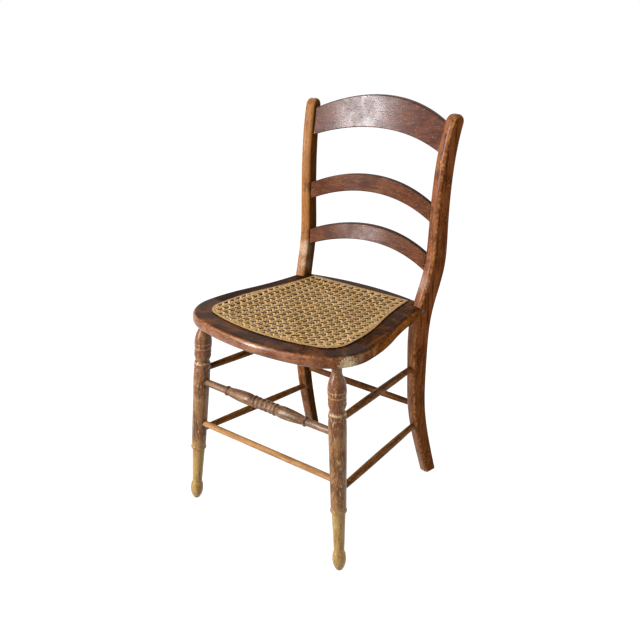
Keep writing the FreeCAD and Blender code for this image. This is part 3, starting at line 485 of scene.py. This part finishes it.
# %% Legs and stretchers
leg_varnish = old_varnish(
    "leg_varnish", "Z", dark="462911", body="875b35", light="ae8554", worn="c8aa7d", wear=0.8,
    chips=0.8, dirt="3b2311", rough=0.18, shine=0.26, streaks=8.0, specks=0.55, chip_from=0.58,
    fades=[(0.22, 0.36, "6c3a21", 0.85), (0.155, 0.110, "ab894b", 0.85)],
    rings=[(0.3735, 0.0013, "b99a75", 0.65), (0.3635, 0.0013, "b99a75", 0.65),
           (0.3305, 0.0020, "cdb288", 0.7)])
turned_varnish = old_varnish(
    "turned_stretcher_varnish", "X", dark="49301f", body="7a5539", light="9d7752",
    worn="c4a67c", wear=0.7, chips=0.8, dirt="331d0f", rough=0.20, shine=0.24, streaks=8.0,
    specks=0.5, chip_from=0.60)
side_stretcher_varnish = old_varnish(
    "side_stretcher_varnish", "Y", dark="43240d", body="784718", light="a06a2c",
    worn="c0914f", wear=0.3, chips=1.0, rough=0.26, shine=0.05, chip_from=0.60)
rear_stretcher_varnish = old_varnish(
    "rear_stretcher_varnish", "X", dark="43240d", body="693d1b", light="8a5728",
    worn="b88545", wear=0.3, chips=0.6, rough=0.31, shine=0.05)
new_dowel = old_varnish(
    "new_dowel_wood", "X", dark="8c5f36", body="aa7d4f", light="c49a69", worn="d2b286",
    wear=0.2, chips=0.3, dirt="6e4826", rough=0.40)
dress(leg_varnish, "front_leg_left", "front_leg_right")
dress(turned_varnish, "front_stretcher_turned")
dress(side_stretcher_varnish, "side_stretcher_upper_left", "side_stretcher_upper_right",
      "side_stretcher_lower_left", "side_stretcher_lower_right")
dress(rear_stretcher_varnish, "rear_stretcher")
dress(new_dowel, "front_stretcher_plain", "seat_dowels")

# %% [markdown]
# ## Screw heads
#
# One countersunk screw goes through each post into the seat. It is old dull steel that has
# rusted where damp sat in it, so the metal is grey in one place and brown and rough in another.


# %% Old steel
RUST_MM = 2.2


def old_steel(name):
    """Dull steel, in part turned to rust, which is brown, rough and no metal."""
    steel = Finish(name)
    rust = steel.mask(steel.noise(steel.place, RUST_MM, 4.0, 0.65), 0.44, 0.60)
    steel.give(Base_Color=steel.coat(paint("5b5650"), "4a2c1a", rust),
               Metallic=steel.calc("SUBTRACT", 1.0, rust),
               Roughness=steel.calc("ADD", 0.42, steel.times(rust, 0.35)))
    return steel.material


dress(old_steel("old_screw_steel"), "seat_screws")

# %% [markdown]
# ## The cane's outline
#
# The cane fills a shield shape: a bowed front, round front corners, sides that swell and then
# draw in, and a straight rear edge. It lies on a seat that falls to the rear by three degrees.
# The outline is drawn flat from the same arcs that a seat maker would swing with a compass: bow,
# corner, swell and hollow below are their radii. One function lifts any flat point on to the
# sloping seat, and another measures how far inside an outline a point lies.

# %% Outline of the cane, drawn flat
SEAT_LEVEL = 0.4358  # top of the boards at the seat's middle
SEAT_FALL = math.radians(3.35)
CANE = dict(half=0.1585, front=0.1963, rear=0.1427, bow=0.400, corner=0.050, swell=0.430,
            swell_from=0.1073, hollow=0.805, turn=math.radians(14.1))
OPENING = 0.013  # from the cane's edge in to where the boards end under it


def arc(centre, radius, first, last, count):
    """Points on an arc between two angles."""
    angles = np.linspace(first, last, count)
    return np.c_[centre[0] + radius * np.cos(angles), centre[1] + radius * np.sin(angles)]


def cane_outline(inset):
    """The cane's edge drawn in by an inset, as points that go round once."""
    half, bow, corner = CANE["half"] - inset, CANE["bow"] - inset, CANE["corner"] - inset
    swell, hollow = CANE["swell"] - inset, CANE["hollow"] + inset
    bow_centre = np.array([0.0, CANE["bow"] - CANE["front"]])
    corner_centre = np.array([half - corner, 0.0])
    corner_centre[1] = bow_centre[1] - math.sqrt((bow - corner) ** 2 - corner_centre[0] ** 2)
    lean = math.atan2(corner_centre[1] - bow_centre[1], corner_centre[0])
    swell_centre = np.array([half - swell, -CANE["swell_from"]])
    way = np.array([math.cos(CANE["turn"]), math.sin(CANE["turn"])])
    hollow_centre = swell_centre + way * (swell + hollow)
    last = math.asin((hollow_centre[1] - CANE["rear"] + inset) / hollow)
    right = np.vstack([
        arc(bow_centre, bow, -math.pi / 2, lean, 30),
        arc(corner_centre, corner, lean, 0, 16)[1:],
        arc(swell_centre, swell, 0, CANE["turn"], 16),
        arc(hollow_centre, hollow, math.pi + CANE["turn"], math.pi + last, 20)[1:]])
    left = right[::-1] * (-1, 1)
    rear = np.linspace(right[-1], left[0], 30)[1:-1]
    return np.vstack([right, rear, left[:-1]])


def on_seat(points):
    """Flat points (x, y, height over the seat) lifted on to the sloping seat."""
    x, y, up = np.asarray(points, float).T
    return np.c_[x, y * math.cos(SEAT_FALL) + up * math.sin(SEAT_FALL),
                 SEAT_LEVEL - y * math.sin(SEAT_FALL) + up * math.cos(SEAT_FALL)]


def inside_by(points, ring):
    """How far each flat point lies inside a ring, negative outside."""
    start, end = ring, np.roll(ring, -1, axis=0)
    run = end - start
    gap = points[:, None, :] - start[None]
    share = np.clip((gap * run).sum(2) / (run ** 2).sum(1), 0, 1)
    distance = np.linalg.norm(gap - share[..., None] * run, axis=2).min(1)
    y_above = (start[:, 1] > points[:, 1][:, None]) != (end[:, 1] > points[:, 1][:, None])
    rise = np.where(run[:, 1] == 0, 1e-12, run[:, 1])
    cross = start[:, 0] + run[:, 0] * (points[:, 1][:, None] - start[:, 1]) / rise
    odd = (y_above & (points[:, 0][:, None] < cross)).sum(1) % 2
    return np.where(odd == 1, distance, -distance)


cane_edge = cane_outline(0.0)
opening_edge = cane_outline(OPENING)
print("cane is", round(2 * CANE["half"] * 1000), "mm wide and",
      round((CANE["front"] + CANE["rear"]) * 1000), "mm deep")

# %% [markdown]
# ## Weaving
#
# Seat cane is woven in steps. A first lot of strands runs from back to front, a level lot is laid
# over it, and a second upright lot over that, each strand close beside one of the first. So one
# strand of every pair lies a little lower than its neighbour, and looked at from the side the
# pairs stand like the slats of a blind. Then one strand runs along each diagonal: the first lot
# over the upright pairs and under the level ones, the second lot the other way about. The
# diagonals cut the corners of every square, which leaves the eight-sided gaps that this pattern
# is known for.
#
# The heights come from short formulas. The net repeats at every pitch, so how far a place lies
# from the nearest line of the net says what a strand crosses there.

# %% How high each strand runs
PITCH = 0.0176  # from one pair to the next
APART = 0.0027  # from the middle of a pair to each strand of it
STRAND_WIDE = 0.0044
STRAND_THICK = 0.0020
TILT = 0.0008  # how far a strand lies over or under the middle of its pair
LIFT = (STRAND_THICK - TILT) / 2  # how far a strand bends where it crosses a pair
CLEAR_ALL = 0.0025  # how far a diagonal runs over or under the pairs
SQUARE_STEP = 1.8  # how squarely a diagonal steps from over to under
FIRST_GAPS = -0.1713  # the y of the first row of gaps
ROW_START = FIRST_GAPS + PITCH / 2


def hump(offset):
    """A smooth rise over a strand, for places given from its middle."""
    rise = np.cos(offset / STRAND_WIDE * math.pi / 2) ** 2
    return np.where(np.abs(offset) < STRAND_WIDE, rise, 0.0)


def from_nearest(value, start):
    """Distance of a value from the nearest line of a net, lines being a pitch apart."""
    return (value - start + PITCH / 2) % PITCH - PITCH / 2


def upright_height(y, side):
    """Heights of an upright strand; the right one of a pair passes under the level strands."""
    offset = from_nearest(y, ROW_START)
    return (-side * TILT + hump(offset + APART) * (-side * LIFT - TILT / 2)
            + hump(offset - APART) * (-side * LIFT + TILT / 2))


def level_height(x, side):
    """Heights of a level strand, over the right upright and under the left; the rear one is high."""
    offset = from_nearest(x, 0.0)
    return (side * TILT + hump(offset - APART) * (LIFT - side * TILT / 2)
            - hump(offset + APART) * (LIFT + side * TILT / 2))


def diagonal_height(x, hand):
    """Heights of a diagonal: over one set of pairs and under the other."""
    wave = np.cos(2 * math.pi * x / PITCH)
    return CLEAR_ALL * hand * np.tanh(SQUARE_STEP * wave) / math.tanh(SQUARE_STEP)


print("a pair of strands every", round(PITCH * 1000, 1), "mm")

# %% [markdown]
# ## Age in the cane
#
# Each strand is laid out as a chain of points: a straight run across the seat whose height
# rises and falls with what it crosses. Old cane also sags, wanders and, close behind the front
# edge, has a few broken strands that hang down. The edges beside the gaps get painted shade,
# least on the strand that lies high. Depth and that shade are kept with each point, for the finish.

# %% How the strands have aged
SAG = 0.0035  # how far the middle of the cane hangs
SAG_REACH = 0.09  # from the opening's edge to where the cane sags most
LOOSE_REACH = 0.016  # from the opening's edge to where the strands lie free of the wood
PRESSED = 0.40  # share of the weave's height that is left where it lies on wood
ON_WOOD = 0.0012  # height of a strand's middle over the wood
DROP = 0.0022  # how much lower the free weave lies
BINDER_COVER = 0.0028  # strands end this far inside the cane's edge, under the binder
FEWEST_POINTS = 5  # of a chain that is worth a strand
BROKEN_PLACE = (0.035, -0.174)  # the middle of the broken strands
BROKEN_SIZE = (0.065, 0.013)  # how far they reach from it
HOLE_REACH = 0.30 * PITCH  # half the reach of a gap's painted shade along the strand beside it
GAP_SHADE_EDGE = 0.0012  # over which the painted shade ends
HIGH_STRAND_SHADE = 0.35  # share of painted shade on the strand of a pair that lies high


def drift(x, y):
    """How far the weave has wandered at a place: slow waves of 1 mm with quicker ones on them."""
    return np.c_[0.0009 * np.sin(31 * y + 17 * x) + 0.0005 * np.sin(83 * y - 40 * x),
                 0.0009 * np.sin(27 * x + 11 * y) + 0.0004 * np.sin(95 * x + 30 * y)]


def slack(x, y):
    """Near 1 where the strands have broken and hang down, close behind the front edge."""
    across = (x - BROKEN_PLACE[0]) / BROKEN_SIZE[0]
    back = (y - BROKEN_PLACE[1]) / BROKEN_SIZE[1]
    return np.exp(-(across ** 2 + back ** 2) ** 2)


def beside_hole(value, start):
    """1 midway between two lines of the net, where a strand has a gap beside it and gets painted
    shade.
    """
    away = np.abs(from_nearest(value, start + PITCH / 2))
    return np.clip((HOLE_REACH - away) / GAP_SHADE_EDGE, 0.0, 1.0)


def lay_strand(x, y, height, hole, broken=0.0):
    """Chains for one straight strand, cut where it passes under the binder.

    A chain is its points on the seat, each with how deep in the weave it lies, from 0 to 1, and how
    much painted shade it gets from the gap beside it. Broken is how far the strand hangs where the
    weave is slack.
    """
    flat = np.c_[x, y] + drift(x, y)
    depth = inside_by(flat, cane_edge)
    free = inside_by(flat, opening_edge)
    loose = np.clip(free / LOOSE_REACH, 0, 1)
    loose = loose * loose * (3 - 2 * loose)
    sag = SAG * np.clip(free / SAG_REACH, 0, 1) ** 0.8
    hanging = broken * loose * slack(x, y)
    up = ON_WOOD + (PRESSED + (1 - PRESSED) * loose) * height - DROP * loose - sag - hanging
    deep = (CLEAR_ALL - height + hanging) / (2 * CLEAR_ALL)
    keep = depth > BINDER_COVER
    chains = []
    run = []
    for index in range(len(keep)):
        if keep[index]:
            run.append(index)
        if run and (not keep[index] or index == len(keep) - 1):
            if len(run) >= FEWEST_POINTS:
                chains.append(np.c_[on_seat(np.c_[flat[run], up[run]]), deep[run], hole[run]])
            run = []
    return chains


print("strands end", round(BINDER_COVER * 1000, 1), "mm inside the cane's edge")

# %% [markdown]
# ## Laying the strands
#
# The strands are laid lot by lot, upright, level and diagonal, each a little off its line. The
# small errors come from one seeded generator, so every run lays the same cane.

# %% Every strand of the net
ACROSS = 0.21  # half the length of a strand before it is cut at the binder
STEP = 0.0018  # from point to point of an upright or level strand
DIAGONAL_STEP = 0.0019
COLUMNS_A_SIDE = 9  # pairs each side of the middle one
ROWS_BEFORE = 2  # pairs in front of the first row of gaps and behind it
ROWS_BEHIND = 18
DIAGONALS_A_SIDE = 20
UNEVEN = 0.00025  # how far a strand is off its line, more or less
UNEVEN_DIAGONAL = 0.00035
HANGING_LEVEL = 0.006  # how far broken level strands hang
HANGING_DIAGONAL = 0.004
wander = np.random.default_rng(7)

reach = np.arange(-ACROSS, ACROSS, STEP)
columns = np.arange(-COLUMNS_A_SIDE, COLUMNS_A_SIDE + 1) * PITCH
rows = ROW_START + np.arange(-ROWS_BEFORE, ROWS_BEHIND + 1) * PITCH
upright, level, leaning = [], [], []
for column in columns:
    for side in (-1, 1):
        x = np.full_like(reach, column + side * APART + wander.normal(0, UNEVEN))
        dirt = beside_hole(reach, ROW_START) * (1.0 if side > 0 else HIGH_STRAND_SHADE)
        upright += lay_strand(x, reach, upright_height(reach, side), dirt)
for row in rows:
    for side in (-1, 1):
        y = np.full_like(reach, row + side * APART + wander.normal(0, UNEVEN))
        dirt = beside_hole(reach, 0.0) * (1.0 if side < 0 else HIGH_STRAND_SHADE)
        level += lay_strand(reach, y, level_height(reach, side), dirt, HANGING_LEVEL)
diagonal = np.arange(-ACROSS, ACROSS, DIAGONAL_STEP)
clean = np.zeros_like(diagonal)
for number in range(-DIAGONALS_A_SIDE, DIAGONALS_A_SIDE + 1):
    shift = (number + 0.5) * PITCH + wander.normal(0, UNEVEN_DIAGONAL)
    for hand, broken in ((1, 0.0), (-1, HANGING_DIAGONAL)):
        y = ROW_START + hand * diagonal + shift
        leaning += lay_strand(diagonal, y, diagonal_height(diagonal, hand), clean, broken)
print("strands laid:", len(upright), "upright,", len(level), "level,", len(leaning), "diagonal")

# %% [markdown]
# ## Giving the strands a body
#
# A strand of cane is a flat ribbon with a rounded, shiny top. Sweeping a flattened ring along
# each chain is a job for Geometry Nodes: one tree serves all the chains, and width, thickness
# and the spread of tones are inputs that a learner can change and watch. The result is turned
# into plain meshes, one for each way the strands run.


# %% A tree that makes cane from lines
STRAND_SIDES = 6
HALF_SIDE = math.pi / STRAND_SIDES


def new_tree(name, sockets):
    """A tree with named inputs, its way in and what adds its nodes."""
    tree = bpy.data.node_groups.new(name, "GeometryNodeTree")
    tree.interface.new_socket("Geometry", in_out="INPUT", socket_type="NodeSocketGeometry")
    for label, kind in sockets.items():
        tree.interface.new_socket(label, in_out="INPUT", socket_type=kind)
    tree.interface.new_socket("Geometry", in_out="OUTPUT", socket_type="NodeSocketGeometry")
    add = partial(add_node, tree)
    return tree, add("NodeGroupInput").outputs, add


def ribbon_profile(add, width, thickness, sides=6, turned=0.0):
    """A flattened ring to sweep along a line; turned by half a side, it has upright edges."""
    ring = add("GeometryNodeCurvePrimitiveCircle", {
        "Resolution": sides, "Radius": 0.5}, mode="RADIUS").outputs[0]
    ring = add("GeometryNodeTransform", {
        "Geometry": ring, "Rotation": (0.0, 0.0, turned)}).outputs[0]
    size = add("ShaderNodeCombineXYZ", {"X": width, "Y": thickness, "Z": 1.0}).outputs[0]
    return add("GeometryNodeTransform", {"Geometry": ring, "Scale": size}).outputs[0]


def finish_tree(add, geometry, material):
    """Smooths, makes instances real and gives the finish."""
    smooth = add("GeometryNodeSetShadeSmooth", {"Geometry": geometry})
    real = add("GeometryNodeRealizeInstances", {"Geometry": smooth.outputs[0]})
    covered = add("GeometryNodeSetMaterial", {"Geometry": real.outputs[0], "Material": material})
    add("NodeGroupOutput", {"Geometry": covered.outputs[0]})


def strand_tree():
    """Sweeps a ribbon along every line and stores a tone for each."""
    tree, given, add = new_tree("cane_strands", {
        "Strand Width": "NodeSocketFloat", "Strand Thickness": "NodeSocketFloat",
        "Seed": "NodeSocketInt", "Finish": "NodeSocketMaterial"})
    lines = add("GeometryNodeMeshToCurve", {"Mesh": given["Geometry"]})
    lying = add("GeometryNodeSetCurveNormal", {"Curve": lines.outputs[0]}, mode="Z_UP")
    tone = add("FunctionNodeRandomValue", {"Seed": given["Seed"]}, data_type="FLOAT")
    tinted = add("GeometryNodeStoreNamedAttribute", {
        "Geometry": lying.outputs[0], "Name": "tone", "Value": tone.outputs[1]},
                 domain="CURVE", data_type="FLOAT")
    profile = ribbon_profile(add, given["Strand Width"], given["Strand Thickness"],
                             STRAND_SIDES, HALF_SIDE)
    swept = add("GeometryNodeCurveToMesh", {
        "Curve": tinted.outputs[0], "Fill Caps": True, "Profile Curve": profile})
    finish_tree(add, swept.outputs[0], given["Finish"])
    return tree


def line_mesh(name, chains, closed=False):
    """An object that holds chains of points joined by edges, with each point's depth and painted
    shade.
    """
    points, edges = [], []
    for chain in chains:
        first = len(points)
        points.extend(chain.tolist())
        edges.extend((at, at + 1) for at in range(first, len(points) - 1))
        if closed:
            edges.append((len(points) - 1, first))
    mesh = bpy.data.meshes.new(name)
    mesh.from_pydata([point[:3] for point in points], edges, [])
    for place, attribute in ((3, "depth"), (4, "dirt")):
        kept = mesh.attributes.new(attribute, "FLOAT", "POINT")
        kept.data.foreach_set("value", [point[place] for point in points])
    made = bpy.data.objects.new(name, mesh)
    bpy.context.scene.collection.objects.link(made)
    return made


def grow(made, tree, values):
    """Runs a tree on an object and keeps the result as its plain mesh."""
    growth = made.modifiers.new("growth", "NODES")
    growth.node_group = tree
    for item in tree.interface.items_tree:
        if item.in_out == "INPUT" and item.name in values:
            growth[item.identifier] = values[item.name]
    made.update_tag()
    bpy.context.view_layer.update()
    ready = made.evaluated_get(bpy.context.evaluated_depsgraph_get())
    mesh = bpy.data.meshes.new_from_object(ready)
    made.modifiers.remove(growth)
    made.data = mesh
    heights = [round(point.co.z, 4) for point in mesh.vertices]
    print(made.name, len(mesh.polygons), "faces, from", min(heights), "to", max(heights), "m high")
    return made


# %% [markdown]
# ## Cane as a finish
#
# Split cane keeps the plant's own skin: straw gold, with a dull shine and a faint pink or green
# cast here and there. Each strand has its own tone, which the tree above stored. Use has browned
# the cane unevenly. Where it lies deep, turns its edge, borders a gap or is crossed by another
# strand, it is painted much darker than on its face: painted shade, with some grime.


# %% Straw-gold cane
BLOTCH_MM = 26.0
FLECK_MM = 3.4
CROSSING_SHADE_MM = 4.0  # how far round a place crossing strands paint shade on it


def straw_cane(name):
    """Straw-gold skin, blotched, with painted shade in deep places, on turned edges, beside gaps and
    where strands cross.
    """
    cane = Finish(name)
    blotches = cane.noise(cane.place, BLOTCH_MM, 3.0)
    flecks = cane.noise(cane.place, FLECK_MM, 3.0, 0.6)
    colour = cane.lay(paint("ae864f"), paint("d8b076"), cane.mask(cane.stored("tone"), 0.0, 0.8))
    colour = cane.coat(colour, "d0a07c", cane.mask(flecks, 0.52, 0.70), 0.7)
    colour = cane.coat(colour, "a98f4c", cane.mask(blotches, 0.50, 0.66), 0.5)
    colour = cane.coat(colour, "7c5526", cane.mask(flecks, 0.46, 0.30), 0.8)

    depth = cane.stored("depth")
    dirt = cane.stored("dirt")
    # Strands that lie deep in the weave are painted darker: painted shade, with grime.
    colour = cane.coat(colour, "3d240e", cane.mask(depth, 0.58, 0.95))
    # The edges beside the gaps get painted shade.
    colour = cane.coat(colour, "2c190b", cane.mask(dirt, 0.5, 1.0), 0.78)
    # Faces that turn from up are painted dark as shade, the more where deep or beside a gap.
    facing = cane.upwards(cane.add("ShaderNodeNewGeometry").outputs["True Normal"])
    turned_away = cane.mask(facing, 0.95, 0.60)
    dirty = cane.larger(cane.larger(cane.mask(depth, 0.45, 0.60), 0.30), dirt)
    colour = cane.coat(colour, "251408", turned_away, dirty)
    # Where strands cross, painted shade darkens the enclosed places.
    crossing_shade = cane.corners(CROSSING_SHADE_MM, False)
    colour = cane.coat(colour, "1d1006", cane.mask(crossing_shade, 0.44, 0.78))
    cane.give(Base_Color=colour, Roughness=0.36, Specular_IOR_Level=0.14)
    return cane.material


cane_finish = straw_cane("straw_cane")
strands = strand_tree()
for name, chains, seed in (("cane_upright_pairs", upright, 3), ("cane_level_pairs", level, 5),
                           ("cane_diagonals", leaning, 11)):
    woven = grow(line_mesh(name, chains), strands, {
        "Strand Width": STRAND_WIDE / math.cos(HALF_SIDE), "Strand Thickness": STRAND_THICK,
        "Seed": seed, "Finish": cane_finish})
    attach(woven, "root")
    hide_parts("cane_panel")

# %% [markdown]
# ## The binder
#
# A wider strip of cane is laid round the edge to hide the holes that the strands go into, and a
# thin strand loops over it at every hole to hold it down. The strip is one sweep round the
# outline. The loops repeat at an even distance, so the tree drops one little arch at each
# station along the same line and turns it to follow the edge.


# %% Strip and loops
STRIP_SIDES = 10
LOOP_REACH = 0.56  # a loop's half length, as a share of the strip's width
LOOP_RISE = 1.5  # height of its bending point, as a share of the strip's thickness
LOOP_END = -0.0004  # its ends lie this much under the strip's middle
LOOP_THICK = 0.0005


def binder_tree():
    """Sweeps the strip round a closed line and sets a little arch over it at every station."""
    tree, given, add = new_tree("cane_binder_strip", {
        "Strip Width": "NodeSocketFloat", "Strip Thickness": "NodeSocketFloat",
        "Loop Width": "NodeSocketFloat", "Loop Spacing": "NodeSocketFloat",
        "Finish": "NodeSocketMaterial"})
    line = add("GeometryNodeMeshToCurve", {"Mesh": given["Geometry"]})
    lying = add("GeometryNodeSetCurveNormal", {"Curve": line.outputs[0]}, mode="Z_UP")
    profile = ribbon_profile(add, given["Strip Width"], given["Strip Thickness"], STRIP_SIDES)
    strip = add("GeometryNodeCurveToMesh", {"Curve": lying.outputs[0], "Profile Curve": profile})
    stations = add("GeometryNodeCurveToPoints", {
        "Curve": lying.outputs[0], "Length": given["Loop Spacing"]}, mode="LENGTH")
    half, back, rise = [
        add("ShaderNodeMath", {0: given[size], 1: share}, operation="MULTIPLY").outputs[0]
        for size, share in (("Strip Width", LOOP_REACH), ("Strip Width", -LOOP_REACH),
                            ("Strip Thickness", LOOP_RISE))]
    arch = add("GeometryNodeCurveQuadraticBezier", {
        "Resolution": 6,
        "Start": add("ShaderNodeCombineXYZ", {"Y": back, "Z": LOOP_END}).outputs[0],
        "Middle": add("ShaderNodeCombineXYZ", {"Z": rise}).outputs[0],
        "End": add("ShaderNodeCombineXYZ", {"Y": half, "Z": LOOP_END}).outputs[0]})
    standing = add("GeometryNodeSetCurveNormal", {"Curve": arch.outputs[0]}, mode="Z_UP")
    loop = add("GeometryNodeCurveToMesh", {
        "Curve": standing.outputs[0], "Fill Caps": True,
        "Profile Curve": ribbon_profile(add, given["Loop Width"], LOOP_THICK)})
    loops = add("GeometryNodeInstanceOnPoints", {
        "Points": stations.outputs["Points"], "Instance": loop.outputs[0],
        "Rotation": add("FunctionNodeAlignRotationToVector", {
            "Vector": stations.outputs["Tangent"]}, axis="X", pivot_axis="Z").outputs[0]})
    both = add("GeometryNodeJoinGeometry")
    tree.links.new(strip.outputs[0], both.inputs[0])
    tree.links.new(loops.outputs[0], both.inputs[0])
    finish_tree(add, both.outputs[0], given["Finish"])
    return tree


# %% [markdown]
# ## Binder round the cane
#
# The strip's middle runs a little inside the cane's edge, where it covers the strands' ends. The
# loops stand one pitch apart, because there is one at every hole. Like the strands, the binder
# takes the place of a plain piece of the solids.

# %% Binder round the cane
BINDER_INSET = 0.00325  # from the cane's edge to the middle of the strip
BINDER_HEIGHT = 0.0022
STRIP_WIDE = 0.0062
STRIP_THICK = 0.0010
LOOP_WIDE = 0.0024

middle_line = cane_outline(BINDER_INSET)
binder_places = on_seat(np.c_[middle_line, np.full(len(middle_line), BINDER_HEIGHT)])
clean = np.zeros((len(middle_line), 2))
binder = grow(line_mesh("cane_binder_strip", [np.c_[binder_places, clean]], True), binder_tree(), {
    "Strip Width": STRIP_WIDE, "Strip Thickness": STRIP_THICK, "Loop Width": LOOP_WIDE,
    "Loop Spacing": PITCH, "Finish": cane_finish})
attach(binder, "root")
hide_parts("cane_binder")

# %% [markdown]
# ## Floor and light
#
# The chair stands alone on white. The floor is grey and gives back half of the light. Where the
# camera looks straight at it, it glows just enough to come out white, while it keeps a faint
# shadow under the feet. The sky is white too: dim as a light, full white where it is seen.


# %% Floor and sky
FLOOR_GIVES_BACK = 0.5  # share of the light that the chair gets back
FLOOR_SEEN = 0.26  # share that the camera sees, which makes the shadows
FLOOR_GLOW = 0.93
FLOOR_HALF = 12.0
FLOOR_DROP = 0.0005  # how far the floor lies under the feet
SKY_LIGHT = 0.38


def grey(share):
    """A grey that gives back a share of the light."""
    return (share, share, share, 1.0)


def seen_directly(tree):
    """1 where the camera, a mirror or glass looks at a surface, and 0 for the light it gives."""
    rays = add_node(tree, "ShaderNodeLightPath").outputs
    through = add_node(tree, "ShaderNodeMath", {
        0: rays["Is Glossy Ray"], 1: rays["Is Transmission Ray"]}, operation="MAXIMUM").outputs[0]
    return add_node(tree, "ShaderNodeMath", {
        0: rays["Is Camera Ray"], 1: through}, operation="MAXIMUM").outputs[0]


def choose(tree, as_light, as_seen, end):
    """Ends a tree with one shader for the light it gives and another for how it is seen."""
    choice = add_node(tree, "ShaderNodeMixShader", {
        0: seen_directly(tree), 1: as_light.outputs[0], 2: as_seen.outputs[0]})
    add_node(tree, end, {"Surface": choice.outputs[0]})


pale = bpy.data.materials.new("pale_floor")
pale.use_nodes = True
pale.node_tree.nodes.clear()
add = partial(add_node, pale.node_tree)
plain = add("ShaderNodeBsdfDiffuse", {"Color": grey(FLOOR_GIVES_BACK)})
shaded = add("ShaderNodeBsdfDiffuse", {"Color": grey(FLOOR_SEEN)})
glow = add("ShaderNodeEmission", {"Strength": FLOOR_GLOW})
both = add("ShaderNodeAddShader", {0: shaded.outputs[0], 1: glow.outputs[0]})
choose(pale.node_tree, plain, both, "ShaderNodeOutputMaterial")
square = [(x * FLOOR_HALF, y * FLOOR_HALF, 0) for x, y in ((-1, -1), (1, -1), (1, 1), (-1, 1))]
ground = bpy.data.meshes.new("floor")
ground.from_pydata(square, [], [(0, 1, 2, 3)])
ground.materials.append(pale)
floor = bpy.data.objects.new("floor", ground)
floor.location.z = -FLOOR_DROP
bpy.context.scene.collection.objects.link(floor)

sky = bpy.data.worlds.new("even_sky")
bpy.context.scene.world = sky
sky.use_nodes = True
sky.node_tree.nodes.clear()
even, white = [
    add_node(sky.node_tree, "ShaderNodeBackground", {"Color": grey(1.0), "Strength": strength})
    for strength in (SKY_LIGHT, 1.0)]
choose(sky.node_tree, even, white, "ShaderNodeOutputWorld")
print("the floor reaches", FLOOR_HALF, "m each way")

# %% [markdown]
# ## Light
#
# A tall, narrow panel stands at the front left, where the shine on the crest says that a window
# was. A weak one hangs overhead, and a dim, slightly warm one at the right keeps the sides that
# are turned from the window from going black. Large panels give soft shadows like a room's.


# %% Soft panels
def soft_panel(name, place, target, width, height, power, tint=(1, 1, 1)):
    """A large area lamp that faces a target."""
    lamp = bpy.data.lights.new(name, "AREA")
    lamp.shape = "RECTANGLE"
    lamp.size = width
    lamp.size_y = height
    lamp.energy = power
    lamp.color = tint
    panel = bpy.data.objects.new(name, lamp)
    panel.location = place
    panel.rotation_euler = (Vector(target) - Vector(place)).to_track_quat("-Z", "Y").to_euler()
    bpy.context.scene.collection.objects.link(panel)
    print(name, "gives", power, "watts")


soft_panel("window_panel", place=(-1.2, -2.1, 1.25), target=(0.0, 0.0, 0.6),
           width=0.36, height=1.8, power=104.0, tint=(0.95, 0.97, 1.0))
soft_panel("overhead_panel", place=(0.5, -0.4, 2.6), target=(0.0, 0.0, 0.4),
           width=1.6, height=1.6, power=10.0)
soft_panel("right_fill_panel", place=(2.3, -0.2, 0.9), target=(0.0, 0.0, 0.45),
           width=1.6, height=1.6, power=9.0, tint=(1.0, 0.94, 0.86))

# %% [markdown]
# ## Last look
#
# The picture is shown with the plain Standard view, so a colour comes out about as it was
# written.

# %% View
bpy.context.scene.view_settings.view_transform = "Standard"
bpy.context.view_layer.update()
